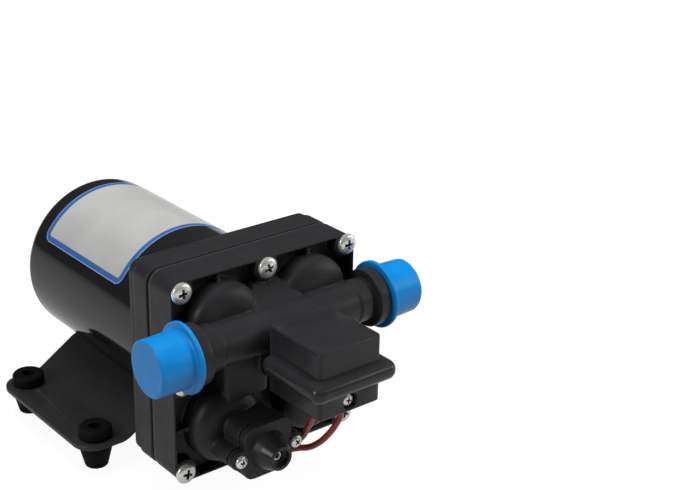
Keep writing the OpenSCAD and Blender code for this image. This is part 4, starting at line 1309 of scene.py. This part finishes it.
@dataclass
class Port:
    """One port: a threaded fitting and its soft push-on cap.

    Attributes:
        shop: The workshop.
        name: inlet or outlet.
        side: Minus one for the left port and one for the right.
        centre: A point on the port's axis.
        thread_root: Radius at the bottom of the thread.
        thread_crest: Radius over the thread.
        pitch: Distance from one turn of the thread to the next.
        turns: How many turns the thread has.
        thread_start: Where its first turn lies, from the middle.
        tooth: Half the width of a tooth's foot as a share of the pitch, and half the width of its crest.
        sunk: How far a tooth's foot lies under the bottom of the thread.
        cap_bore: Inner radius of the cap.
        cap_skin: Outer radius of the cap, behind its flange and at its end.
        cap_flange: How far the flange reaches along the cap, at its edge and at its foot.
        cap_end: Thickness of the cap's end.
        lumps: How wide the lumps in the cap's skin are, and how high.
    """

    shop: Workshop
    name: str
    side: int
    centre: tuple[float, float, float] = (0.0, -117.5, 94.0)
    thread_root: float = 9.35
    thread_crest: float = 10.45
    pitch: float = 1.814
    turns: int = 7
    thread_start: float = 54.2
    tooth: tuple[float, float] = (0.46, 0.12)
    sunk: float = 0.5
    cap_bore: float = 10.75
    cap_skin: tuple[float, float] = (13.35, 12.95)
    cap_flange: tuple[float, float] = (2.2, 2.5)
    cap_end: float = 2.4
    lumps: tuple[float, float] = (11.0, 0.5)

    def build(self) -> None:
        """Builds and dresses the port."""
        self.shop.seat(self.fitting(), self.name + "_fitting")
        self.shop.seat(self.cap(), self.name + "_cap")

    def along(self, outline: Outline) -> Outline:
        """Turns distances from the middle into places along X on this port's side."""
        return [(radius, self.side * far) for radius, far in outline]

    def fitting(self) -> Object:
        """Turns the fitting and fuses its thread to it.

        Returns:
            The fitting.
        """
        corners = [
            (5.0, 34.0), (8.0, 34.0, 0.5), (8.0, 37.9), (6.1, 37.9), (6.1, 40.1), (8.0, 40.1), (8.0, 45.0),
            (10.3, 45.0), (10.3, 46.5), (14.0, 46.5, 0.7), (14.0, 52.5, 0.9), (10.2, 52.5, 0.5),
            (self.thread_root, 53.6), (self.thread_root, 68.4), (8.6, 69.5, 0.3), (5.0, 69.5, 0.5),
        ]
        body = turned(self.name + "_fitting", self.along(rounded(corners, 4)), Axis.X, self.centre, 72)
        combine(body, Join.FUSE, self.thread())
        smooth(body)
        return body

    def thread(self) -> Object:
        """Sweeps one tooth along a helix.

        Returns:
            The thread.
        """
        start = self.side * self.thread_start
        deep = self.thread_root - self.sunk
        foot = self.tooth[0] * self.pitch
        crest = self.tooth[1]
        tooth = [(start - foot, 0.0, deep), (start - crest, 0.0, self.thread_crest),
                 (start + crest, 0.0, self.thread_crest), (start + foot, 0.0, deep)]
        return wound("thread", tooth, Axis.X, self.side * self.pitch, self.turns, self.centre)

    def cap(self) -> Object:
        """Turns the cap and gives its soft skin shallow lumps, which leave it inside its CAD solid.

        Returns:
            The cap.
        """
        low, high = self.shop.span(self.name + "_cap")
        width, height = self.lumps
        mouth = min(abs(low[0]), abs(high[0]))
        end = max(abs(low[0]), abs(high[0])) - height / 2
        flange = (high[2] - low[2]) / 2
        edge, foot = self.cap_flange
        corners = [
            (self.cap_bore, mouth, 0.3), (flange, mouth, 0.7), (flange, mouth + edge, 0.8),
            (self.cap_skin[0], mouth + foot, 1.4), (self.cap_skin[1], end - 0.1, 1.1), (0.0, end),
            (0.0, end - self.cap_end), (self.cap_bore, end - self.cap_end, 0.8),
        ]
        outline = self.along(spaced(rounded(corners, 5), 1.2))
        piece = turned(self.name + "_cap", outline, Axis.X, self.centre, 96)
        lumps = bpy.data.textures.new(self.name + "_lumps", "CLOUDS")
        lumps.noise_scale = width * MM
        lumps.noise_depth = 1
        modify(piece, "DISPLACE", texture=lumps, texture_coords="LOCAL", strength=height * MM, mid_level=0.5)
        smooth(piece, 40)
        return piece


@dataclass
class PressureSwitch:
    """The pressure switch's two shells, parted at a rounded joint flange.

    Attributes:
        shop: The workshop.
        parting: Height of the plane between the shells.
        flange: Half the flange's thickness.
        corner: The radius of the housing's upright corners.
        flange_corner: The radius of the flange's corners.
        body_low: The housing's lowest corner.
        body_high: The housing's highest corner.
        flange_low: The flange's front left corner.
        flange_high: The flange's rear right corner.
        wall: Thickness of the upper shell's walls.
        edge: The radius of the round edge at the housing's ends.
        soft: The width of the rounding on its other edges.
        screw: The adjusting screw's axis, as X and Z.
        screw_size: The adjusting screw.
        screw_depth: How far its seat lies behind the housing's front.
        bores: The screw's recess and the bores behind it: radius, start and end behind the front.
        post_slot: Half the width of the slot for the plunger's post, and its start and end behind the front.
    """

    shop: Workshop
    parting: float = 86.25
    flange: float = 4.5
    corner: float = 2.2
    flange_corner: float = 5.0
    body_low: tuple[float, float, float] = (-17.0, -165.0, 70.75)
    body_high: tuple[float, float, float] = (17.0, -128.5, 103.25)
    flange_low: tuple[float, float] = (-23.0, -171.0)
    flange_high: tuple[float, float] = (23.0, -129.5)
    wall: float = 2.0
    edge: float = 1.2
    soft: float = 0.22
    screw: tuple[float, float] = (0.0, 75.75)
    screw_size: CrossScrews = CrossScrews(3.0, 1.8, 2.5, 6.0)
    screw_depth: float = 2.7
    bores: tuple[Point, ...] = ((3.9, -1.5, 3.0), (2.55, 2.5, 7.5), (4.0, 7.0, 33.5), (4.65, 32.3, 37.0))
    post_slot: tuple[float, float, float] = (2.0, 13.0, 20.0)

    def build(self) -> None:
        """Builds and dresses the switch."""
        self.shop.seat(self.cover(), "switch_cover")
        self.shop.seat(self.base(), "switch_base")
        seat = (self.screw[0], self.body_low[1] + self.screw_depth, self.screw[1])
        self.shop.seat(self.screw_size.group("switch_screw", [seat]), "switch_adjusting_screw")

    @staticmethod
    def shell(name: str, low: Point, high: Point, corner: float, edge: float, end: float) -> Object:
        """Makes a block with round upright corners and a round edge at its outer end.

        Args:
            name: The block's name.
            low: Its lowest corner.
            high: Its highest corner.
            corner: The radius of the upright corners.
            edge: The radius of the end's edge.
            end: The height of the end that gets it.

        Returns:
            The block.
        """
        piece = box(name, low, high)
        with editing(piece, Pick.EDGES):
            round_edges(piece, corner, 8, lambda line: runs_along(line, Axis.Z))
            round_edges(piece, edge, 6,
                        lambda line: all(abs(vert.co.z / MM - end) < 0.01 for vert in line.verts))
        return piece

    def rim(self, name: str, up: int) -> Object:
        """Makes half of the joint flange, with a quarter-round edge.

        Args:
            name: Its name.
            up: One for the upper shell's half and minus one for the lower shell's.

        Returns:
            The half flange.
        """
        end = self.parting + up * self.flange
        levels = sorted((self.parting, end))
        low = (*self.flange_low, levels[0])
        high = (*self.flange_high, levels[1])
        return self.shell(name, low, high, self.flange_corner, self.flange - 0.15, end)

    def cover(self) -> Object:
        """Builds the upper shell.

        Returns:
            The shell.
        """
        low = (self.body_low[0], self.body_low[1], self.parting)
        high = self.body_high
        piece = self.shell("switch_cover", low, high, self.corner, self.edge, high[2])
        combine(piece, Join.FUSE, self.rim("cover_rim", 1))
        inner_low = (low[0] + self.wall, low[1] + self.wall, low[2] - CLEAR)
        inner = box("cover_hollow", inner_low, [value - self.wall for value in high])
        combine(piece, Join.CUT, inner)
        soften(piece, self.soft, 2, 50)
        return piece

    def base(self) -> Object:
        """Builds the lower shell with its screw recess and bores.

        Returns:
            The shell.
        """
        high = (self.body_high[0], self.body_high[1], self.parting - 1)
        piece = self.shell("switch_base", self.body_low, high, self.corner, self.edge, self.body_low[2])
        combine(piece, Join.FUSE, self.rim("base_rim", -1))
        across, up = self.screw
        front = self.body_low[1]
        for radius, start, end in self.bores:
            bore = rod("bore", radius, Axis.Y, front + start, front + end, (across, 0.0, up))
            combine(piece, Join.CUT, bore)
        half, start, end = self.post_slot
        low = (across - half, front + start, up)
        combine(piece, Join.CUT, box("post_slot", low, (across + half, front + end, self.parting + CLEAR)))
        soften(piece, self.soft, 2, 50)
        return piece


@dataclass
class BypassValve:
    """The bypass valve's cover with its screws and adjuster.

    Attributes:
        shop: The workshop.
        skin: The cover's skin.
        screws: The cover's screws.
        screw_places: Where the two screws seat.
        adjuster: The adjuster's axis, as X and Z.
        adjuster_radius: The adjuster's radius.
        set_back: How far its front lies behind its CAD solid's.
        socket: The radius and the depth of its hexagon socket.
    """

    shop: Workshop
    skin: Skin = Skin(0.25, 5, 90000)
    screws: CrossScrews = CrossScrews(3.1, 2.2, 1.5, 14.0)
    screw_places: tuple[Point, ...] = ((-32.0, -128.5, 39.7), (-1.5, -128.5, 39.7))
    adjuster: tuple[float, float] = (-16.75, 40.3)
    adjuster_radius: float = 2.5
    set_back: float = 1.5
    socket: tuple[float, float] = (1.5, 2.0)

    def build(self) -> None:
        """Builds and dresses the valve."""
        seat = self.shop.seat
        cover = merged(self.shop.node("bypass_cover"), "bypass_cover")
        seat(moulded(cover, self.skin), "bypass_cover")
        seat(self.screws.group("bypass_screws", self.screw_places), "bypass_screws")
        seat(self.adjusting_screw(), "bypass_adjusting_screw")
        self.shop.dress_nodes(("bypass_gasket",))

    def adjusting_screw(self) -> Object:
        """Turns the grub screw and cuts its hexagon socket.

        Returns:
            The screw.
        """
        low, high = self.shop.span("bypass_adjusting_screw")
        centre = (self.adjuster[0], 0.0, self.adjuster[1])
        front, back = low[1] + self.set_back, high[1]
        radius = self.adjuster_radius
        corners = [(0.0, front), (radius, front, 0.5), (radius, back, 0.3), (0.0, back)]
        piece = turned("adjuster", rounded(corners, 4), Axis.Y, centre, 40)
        half, deep = self.socket
        combine(piece, Join.CUT, rod("socket", half, Axis.Y, front - CLEAR, front + deep, centre, 6))
        soften(piece, 0.12, 2, 45)
        return piece


@dataclass
class PressedSpring:
    """A coil spring between its fixed seat and the piece that it presses.

    Attributes:
        shop: The workshop.
        name: The spring's node.
        pressed: The body that it presses.
        wire: Radius of its wire.
        turns: How many turns it has.
    """

    shop: Workshop
    name: str
    pressed: str
    wire: float
    turns: int

    def build(self) -> None:
        """Winds and dresses the spring."""
        low, high = self.shop.span(self.name)
        radius = (high[0] - low[0]) / 2 - self.wire
        pitch = (high[1] - low[1] - 2 * self.wire) / self.turns
        ring = [(0.0, low[1] + self.wire * (1 + cos(turn)), radius + self.wire * sin(turn))
                for turn in (pi / 5 * step for step in range(10))]
        place = ((low[0] + high[0]) / 2, 0.0, (low[2] + high[2]) / 2)
        coil = wound(self.name, ring, Axis.Y, pitch, self.turns, place)
        smooth(coil)
        self.shop.seat(coil, self.name, self.pressed)


@dataclass
class Motor:
    """The drawn can with its bolts and label.

    Attributes:
        shop: The workshop.
        radius: Outer radius of the can.
        wall: Thickness of its wall.
        front: Where it starts along Y.
        back: Where its flat end lies along Y.
        axis_up: Height of its axis.
        edge: Radius of its rounded rear edge.
        bolts: How far the through bolts lie above and below the axis.
        bolt_size: A through bolt.
        bolt_hole: Radius of a bolt's hole.
        lead_hole: Radius of the hole for the leads.
        lead_place: Where that hole lies, as X and Y.
        bottom: The heights that the holes in the can's underside are cut between.
        label_arc: The angle in degrees that the label spans.
        label_corner: The radius of the label's corners.
        label_film: Thickness of the label.
        label_strips: How many flat strips the label has round the can.
    """

    shop: Workshop
    radius: float = 41.5
    wall: float = 2.6
    front: float = -68.5
    back: float = 49.5
    axis_up: float = 72.5
    edge: float = 6.0
    bolts: float = 31.5
    bolt_size: CrossScrews = CrossScrews(3.6, 2.4, 2.0, 121.0)
    bolt_hole: float = 2.05
    lead_hole: float = 4.0
    lead_place: tuple[float, float] = (-0.5, -56.5)
    bottom: tuple[float, float] = (28.0, 37.0)
    label_arc: float = 122.0
    label_corner: float = 5.0
    label_film: float = 0.2
    label_strips: int = 60

    def build(self) -> None:
        """Builds and dresses the motor."""
        self.shop.seat(self.can(), "motor_can")
        about = Matrix.Rotation(pi, 4, "Z")
        self.shop.seat(self.bolt_size.group("motor_bolts", self.bolt_places(), about), "motor_bolts")
        low, high = self.shop.span("motor_label")
        half = (radians(self.label_arc) / 2 * self.radius, (high[1] - low[1]) / 2)
        self.shop.finishes["silver_label"] = LabelFinish(half, self.label_corner).build()
        self.shop.seat(self.label(half, (low[1] + high[1]) / 2), "motor_label")
        self.shop.dress_nodes(("lead_grommet",))

    def bolt_places(self) -> list[tuple[float, float, float]]:
        """Gives the seats of the two bolts on the can's flat end."""
        return [(0.0, self.back, self.axis_up + side * self.bolts) for side in (-1, 1)]

    def can(self) -> Object:
        """Turns the can's shell, with the rear bearing's seat in its end, and cuts its holes.

        Returns:
            The can.
        """
        inner = self.radius - self.wall
        inside_end = self.back - self.wall
        corners = [
            (self.radius, self.front, 0.4), (self.radius, self.back, self.edge), (12.0, self.back, 0.8),
            (12.0, self.back + 2.5, 1.2), (0.0, self.back + 2.5), (0.0, inside_end), (5.0, inside_end),
            (5.0, 43.5), (9.5, 43.5), (9.5, 37.0), (12.5, 37.0), (12.5, inside_end),
            (inner, inside_end, 3.4), (inner, self.front),
        ]
        piece = turned("motor_can", spaced(rounded(corners, 8), 8.0), Axis.Y, (0.0, 0.0, self.axis_up), 128)
        ends = (inside_end - CLEAR, self.back + CLEAR)
        tools = [rod("bolt_hole", self.bolt_hole, Axis.Y, *ends, place) for place in self.bolt_places()]
        tools.append(rod("lead_hole", self.lead_hole, Axis.Z, *self.bottom, (*self.lead_place, 0.0)))
        tools += [rod("bracket_hole", BRACKET_HOLE, Axis.Z, *self.bottom, (0.0, place, 0.0))
                  for place in BRACKET_SCREWS]
        combine(piece, Join.CUT, *tools)
        smooth(piece)
        return piece

    def label(self, half: tuple[float, float], middle_y: float) -> Object:
        """Cuts the label flat, maps it, and wraps it round the can.

        Args:
            half: Half the label's size, round the can and along it.
            middle_y: Where its middle lies along the can.

        Returns:
            The label.
        """
        folds = [half[0] * (2 * step / self.label_strips - 1) for step in range(1, self.label_strips)]
        piece = sheet("motor_label", (2 * half[0], 2 * half[1]), self.label_corner, 8, folds)
        lift = (self.radius + self.label_film) * MM
        mesh = bmesh.new()
        mesh.from_mesh(piece.data)
        uv = mesh.loops.layers.uv.new("label")
        for face in mesh.faces:
            for loop in face.loops:
                loop[uv].uv = loop.vert.co.xy / MM / LABEL_UNIT
        for vert in mesh.verts:
            turn = vert.co.x / (self.radius * MM)
            along = vert.co.y + middle_y * MM
            vert.co = Vector((lift * sin(turn), along, self.axis_up * MM + lift * cos(turn)))
        mesh.to_mesh(piece.data)
        mesh.free()
        modify(piece, "SOLIDIFY", thickness=self.label_film * MM, offset=-1.0)
        smooth(piece, 30)
        return piece


@dataclass
class Base:
    """The folded bracket, its two screws and the four rubber feet.

    Attributes:
        shop: The workshop.
        size: The bracket's width and length.
        corner: The radius of its corners.
        thickness: The thickness of its sheet.
        deck: Height of its deck.
        flange: Height of its flanges.
        deck_half: Half the deck's width.
        slope: The walls' slope in degrees.
        bend: The radius of its bends.
        soft: The width of the rounding on its edges.
        screws: Its two screws.
        feet: How far the feet lie from the middle, across and along.
        foot_hole: Radius of the bracket's hole for a foot.
        foot_cut: The heights that the feet's holes are cut between.
        screw_cut: The heights that the screws' holes are cut between.
        foot_bore: Radius of the hole through a foot.
        foot_top: Height of a foot's upper end.
    """

    shop: Workshop
    size: tuple[float, float] = (128.0, 89.0)
    corner: float = 11.0
    thickness: float = 2.5
    deck: float = 30.9
    flange: float = 16.0
    deck_half: float = 18.0
    slope: float = 33.0
    bend: float = 9.0
    soft: float = 0.45
    screws: CrossScrews = CrossScrews(4.4, 2.8, 2.4, 7.6)
    feet: tuple[float, float] = (52.0, 34.0)
    foot_hole: float = 5.55
    foot_cut: tuple[float, float] = (10.0, 20.0)
    screw_cut: tuple[float, float] = (25.0, 35.0)
    foot_bore: float = 2.9
    foot_top: float = 21.9

    def build(self) -> None:
        """Builds and dresses the base."""
        self.shop.seat(self.bracket(), "base_bracket")
        down = Matrix.Rotation(pi / 2, 4, "X")
        places = [(0.0, place, self.deck - self.thickness) for place in BRACKET_SCREWS]
        self.shop.seat(self.screws.group("bracket_screws", places, down), "bracket_screws")
        for along, row in ((-1, "front"), (1, "rear")):
            for across, side in ((-1, "left"), (1, "right")):
                self.shop.seat(self.foot(across, along), f"foot_{row}_{side}")

    def bends(self) -> tuple[float, float]:
        """Finds the bends of the right wall.

        Returns:
            Where the upper and the lower bend start, across the bracket.
        """
        run = self.bend * tan(radians(self.slope) / 2)
        foot = self.deck_half + (self.deck - self.flange) / tan(radians(self.slope))
        return self.deck_half - run, foot - run * cos(radians(self.slope))

    def height(self, across: float) -> float:
        """Follows the folded sheet's upper face.

        Args:
            across: The distance from the middle.

        Returns:
            The face's height there.
        """
        upper, lower = self.bends()
        width = self.bend * sin(radians(self.slope))
        drop = self.bend * (1 - cos(radians(self.slope)))
        if across <= upper:
            return self.deck
        if across <= upper + width:
            return self.deck - self.bend + sqrt(self.bend ** 2 - (across - upper) ** 2)
        if across <= lower:
            return self.deck - drop - (across - upper - width) * tan(radians(self.slope))
        if across <= lower + width:
            return self.flange + self.bend - sqrt(self.bend ** 2 - (lower + width - across) ** 2)
        return self.flange

    def bracket(self) -> Object:
        """Cuts the sheet, folds it, gives it its thickness and cuts its holes.

        Returns:
            The bracket.
        """
        steps = [self.bend * sin(radians(self.slope) * step / 8) for step in range(9)]
        folds = [start + step for start in self.bends() for step in steps]
        piece = sheet("base_bracket", self.size, self.corner, 12, [-place for place in folds] + folds)
        for vert in piece.data.vertices:
            vert.co.z = self.height(abs(vert.co.x) / MM) * MM
        modify(piece, "SOLIDIFY", thickness=self.thickness * MM, offset=-1.0, use_even_offset=True)
        tools = [rod("foot_hole", self.foot_hole, Axis.Z, *self.foot_cut, self.foot_place(across, along))
                 for across in (-1, 1) for along in (-1, 1)]
        tools += [rod("screw_hole", BRACKET_HOLE, Axis.Z, *self.screw_cut, (0.0, place, 0.0))
                  for place in BRACKET_SCREWS]
        combine(piece, Join.CUT, *tools)
        soften(piece, self.soft, 3, 45)
        return piece

    def foot_place(self, across: int, along: int) -> tuple[float, float, float]:
        """Gives the middle of the foot on one side and end."""
        return (across * self.feet[0], along * self.feet[1], 0.0)

    def foot(self, across: int, along: int) -> Object:
        """Turns one rubber foot.

        Args:
            across: Minus one for a left foot and one for a right one.
            along: Minus one for a front foot and one for a rear one.

        Returns:
            The foot.
        """
        under = self.flange - self.thickness
        top, bore = self.foot_top, self.foot_bore
        corners = [
            (bore, 0.0, 0.4), (5.6, 0.0, 1.3), (8.5, under - 1.8, 1.2), (8.5, under, 0.5), (5.5, under),
            (5.5, self.flange), (8.1, self.flange, 0.6), (8.1, top, 1.5), (bore, top, 0.5),
        ]
        return turned("rubber_foot", rounded(corners, 5), Axis.Z, self.foot_place(across, along), 64)


@dataclass
class Leads:
    """The two red leads from the switch to the motor.

    Attributes:
        shop: The workshop.
        radius: Radius over the insulation.
        origin: Where the routes are measured from, along Y and Z.
        routes: Points of each lead.
    """

    shop: Workshop
    radius: float = 1.5
    origin: tuple[float, float] = (-104.5, 72.5)
    routes: dict[str, list[tuple[float, float, float]]] = field(default_factory=lambda: {
        "switch_lead_left": [
            (-1, -38, -1.75), (-1, -38, -6.75), (1.5, -33, -17.2), (4.1, -26, -27.1), (5.1, -20.5, -35),
            (3.4, -17.5, -38.8), (1.4, -14, -41.2), (-1, -10.6, -43.6), (-2.2, -8, -48), (-2.2, -6, -53),
            (-2.2, -1.5, -56.6), (-2.2, 6, -57.5), (-2.2, 18, -57.5), (-2.2, 30, -57), (-2.2, 40, -54),
            (-2.2, 46, -49), (-2.2, 48, -44.5), (-2.2, 48, -41),
        ],
        "switch_lead_right": [
            (14.2, -37.5, -1.75), (14.2, -37.5, -7.5), (15, -36, -19.9), (14, -34, -25.5), (12.7, -30, -32.2),
            (11.1, -25, -38.3), (9.2, -20, -42.2), (6, -17, -42.8), (3.2, -13.5, -44.6), (1.6, -10.4, -48),
            (1.2, -7, -52.6), (1.2, -2.5, -56.2), (1.2, 6, -57.5), (1.2, 18, -57.5), (1.2, 30, -57),
            (1.2, 40, -54), (1.2, 46, -49), (1.2, 48, -44.5), (1.2, 48, -41),
        ],
    })

    def build(self) -> None:
        for node, route in self.routes.items():
            points = [Vector((x, y + self.origin[0], z + self.origin[1])) * MM for x, y, z in route]
            lead = self.lead(node, points)
            self.shop.seat(lead, node)

    def lead(self, name: str, points: Sequence[Vector]) -> Object:
        """Makes a round lead as a curve through its points.

        Args:
            name: The lead's name.
            points: Its points in metres.

        Returns:
            The curve.
        """
        curve = bpy.data.curves.new(name, "CURVE")
        curve.dimensions = "3D"
        curve.resolution_u = 6
        curve.bevel_depth = self.radius * MM
        curve.bevel_resolution = 6
        curve.use_fill_caps = True
        spline = curve.splines.new("BEZIER")
        spline.bezier_points.add(len(points) - 1)
        for knot, point in zip(spline.bezier_points, points):
            knot.co = point
            knot.handle_left_type = "AUTO"
            knot.handle_right_type = "AUTO"
        lead = bpy.data.objects.new(name, curve)
        bpy.context.scene.collection.objects.link(lead)
        bpy.context.view_layer.update()
        return lead


@dataclass(frozen=True)
class Lamp:
    """A soft square lamp that looks at the pump.

    Attributes:
        name: The lamp's name.
        place: Where it hangs, in metres.
        size: Its side in metres.
        power: Its power in watts.
        mirrored: Whether glossy surfaces show it.
    """

    name: str
    place: tuple[float, float, float]
    size: float
    power: float
    mirrored: bool = True


@dataclass
class Studio:
    """The camera, the lamps, the grey room and the white floor.

    Attributes:
        eye: The camera's place in millimetres.
        azimuth: Its direction round the pump in degrees.
        elevation: Its height above the horizon in degrees.
        roll: Its turn about its own axis in degrees.
        lens: Its focal length in millimetres.
        room: The brightness of the room.
        paper: The floor's own shade.
        glow: The strength of the white that the floor shows to the camera.
        glow_share: The share of that white, with the pump's shadow in the rest.
        mirror_share: How much of the white mirrors and glass show.
        aim: The point in metres that the lamps look at.
        lamps: The lamps.
    """

    eye: tuple[float, float, float] = (-353.2, -581.5, 381.0)
    azimuth: float = -39.68
    elevation: float = 23.03
    roll: float = 1.25
    lens: float = 76.48
    room: float = 0.065
    paper: float = 0.4
    glow: float = 1.18
    glow_share: float = 0.8
    mirror_share: float = 0.35
    aim: tuple[float, float, float] = (0.0, -0.05, 0.07)
    lamps: tuple[Lamp, ...] = (
        Lamp("overhead_lamp", (-0.1, 0.1, 1.9), 1.8, 42.0, mirrored=False),
        Lamp("left_lamp", (-1.5, -0.1, 0.8), 0.7, 9.0),
        Lamp("front_lamp", (1.0, -0.9, 1.15), 0.6, 16.0, mirrored=False),
        Lamp("side_lamp", (1.5, -0.8, 0.5), 0.6, 4.0),
        Lamp("glint_lamp", (1.06, -1.3, 0.82), 0.4, 1.6),
    )

    def build(self) -> None:
        """Sets up the camera, the floor and the light."""
        self.camera()
        self.floor()
        self.world()
        for lamp in self.lamps:
            self.light(lamp)
        bpy.context.scene.view_settings.view_transform = "Standard"

    def camera(self) -> None:
        """Adds the camera at the photograph's viewing angle."""
        deselect()
        bpy.ops.object.camera_add()
        camera = bpy.context.object
        camera.data.sensor_fit = "HORIZONTAL"
        camera.data.sensor_width = 36.0
        camera.data.lens = self.lens
        camera.data.clip_start = 0.01
        camera.data.clip_end = 100.0
        turn, lift = radians(self.azimuth), radians(self.elevation)
        back = Vector((sin(turn) * cos(lift), -cos(turn) * cos(lift), sin(lift)))
        right = Vector((0.0, 0.0, 1.0)).cross(back).normalized()
        up = back.cross(right)
        tip = radians(self.roll)
        columns = (cos(tip) * right + sin(tip) * up, cos(tip) * up - sin(tip) * right, back)
        rows = Matrix(columns).transposed()
        camera.matrix_world = Matrix.Translation(Vector(self.eye) * MM) @ rows.to_4x4()
        bpy.context.scene.camera = camera

    def floor(self) -> None:
        """Adds a white floor that keeps the pump's shadow."""
        deselect()
        bpy.ops.mesh.primitive_plane_add(size=24.0, location=(0.0, 0.0, -0.0002))
        floor = named("floor")
        material, graph = new_material("white_floor")
        rays = graph.add("LightPath").outputs
        mirrored = graph.math("MAXIMUM", rays["Is Glossy Ray"], rays["Is Transmission Ray"])
        mirrored = graph.math("MULTIPLY", mirrored, self.mirror_share)
        seen = graph.math("MAXIMUM", rays["Is Camera Ray"], mirrored)
        paper = graph.add("BsdfDiffuse", {"Color": opaque([self.paper] * 3)})
        glow = graph.add("Emission", {"Color": WHITE, "Strength": self.glow})
        share = graph.math("MULTIPLY", seen, self.glow_share)
        graph.put_out(graph.add("MixShader", {0: share, 1: paper.outputs[0], 2: glow.outputs[0]}))
        floor.data.materials.append(material)

    def world(self) -> None:
        """Makes the room an even soft grey."""
        world = bpy.data.worlds.new("grey_room")
        world.use_nodes = True
        graph = Graph(world.node_tree)
        graph.put_out(graph.add("Background", {"Color": WHITE, "Strength": self.room}), "OutputWorld")
        bpy.context.scene.world = world

    def light(self, lamp: Lamp) -> None:
        """Hangs one lamp, turned to the pump's middle.

        Args:
            lamp: The lamp.
        """
        deselect()
        bpy.ops.object.light_add(type="AREA", location=lamp.place)
        light = bpy.context.object
        light.name = lamp.name
        light.data.shape = "SQUARE"
        light.data.size = lamp.size
        light.data.energy = lamp.power
        light.visible_glossy = lamp.mirrored
        aim = Vector(self.aim) - Vector(lamp.place)
        light.rotation_euler = aim.to_track_quat("-Z", "Y").to_euler()


HIDDEN_WORKS = (
    "valve_seal", "inlet_valves", "outlet_valve", "port_seals", "switch_plunger",
    "switch_diaphragm", "microswitch", "microswitch_button", "bypass_poppet", "wobble_plate",
    "cam_bearing", "piston_pads", "piston_screws", "drive_cam", "end_bell", "front_bearing", "rear_bearing",
    "motor_shaft", "armature_core", "armature_windings", "commutator", "field_magnets", "brush_holders",
    "carbon_brushes", "brush_springs",
)


def main() -> None:
    """Builds the studio and every sub-assembly in order."""
    logging.basicConfig(level=logging.INFO, format="%(name)s %(message)s")
    shop = Workshop(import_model())
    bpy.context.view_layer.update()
    shop.prepare()
    Studio().build()
    for assembly in (
        Leads(shop), PumpHead(shop), Port(shop, "inlet", -1), Port(shop, "outlet", 1), PressureSwitch(shop),
        BypassValve(shop), PressedSpring(shop, "switch_spring", "plunger", 0.42, 3),
        PressedSpring(shop, "bypass_spring", "poppet", 0.4, 7), Motor(shop), Base(shop),
    ):
        assembly.build()
    shop.dress_nodes(HIDDEN_WORKS)


if __name__ == "__main__":
    main()
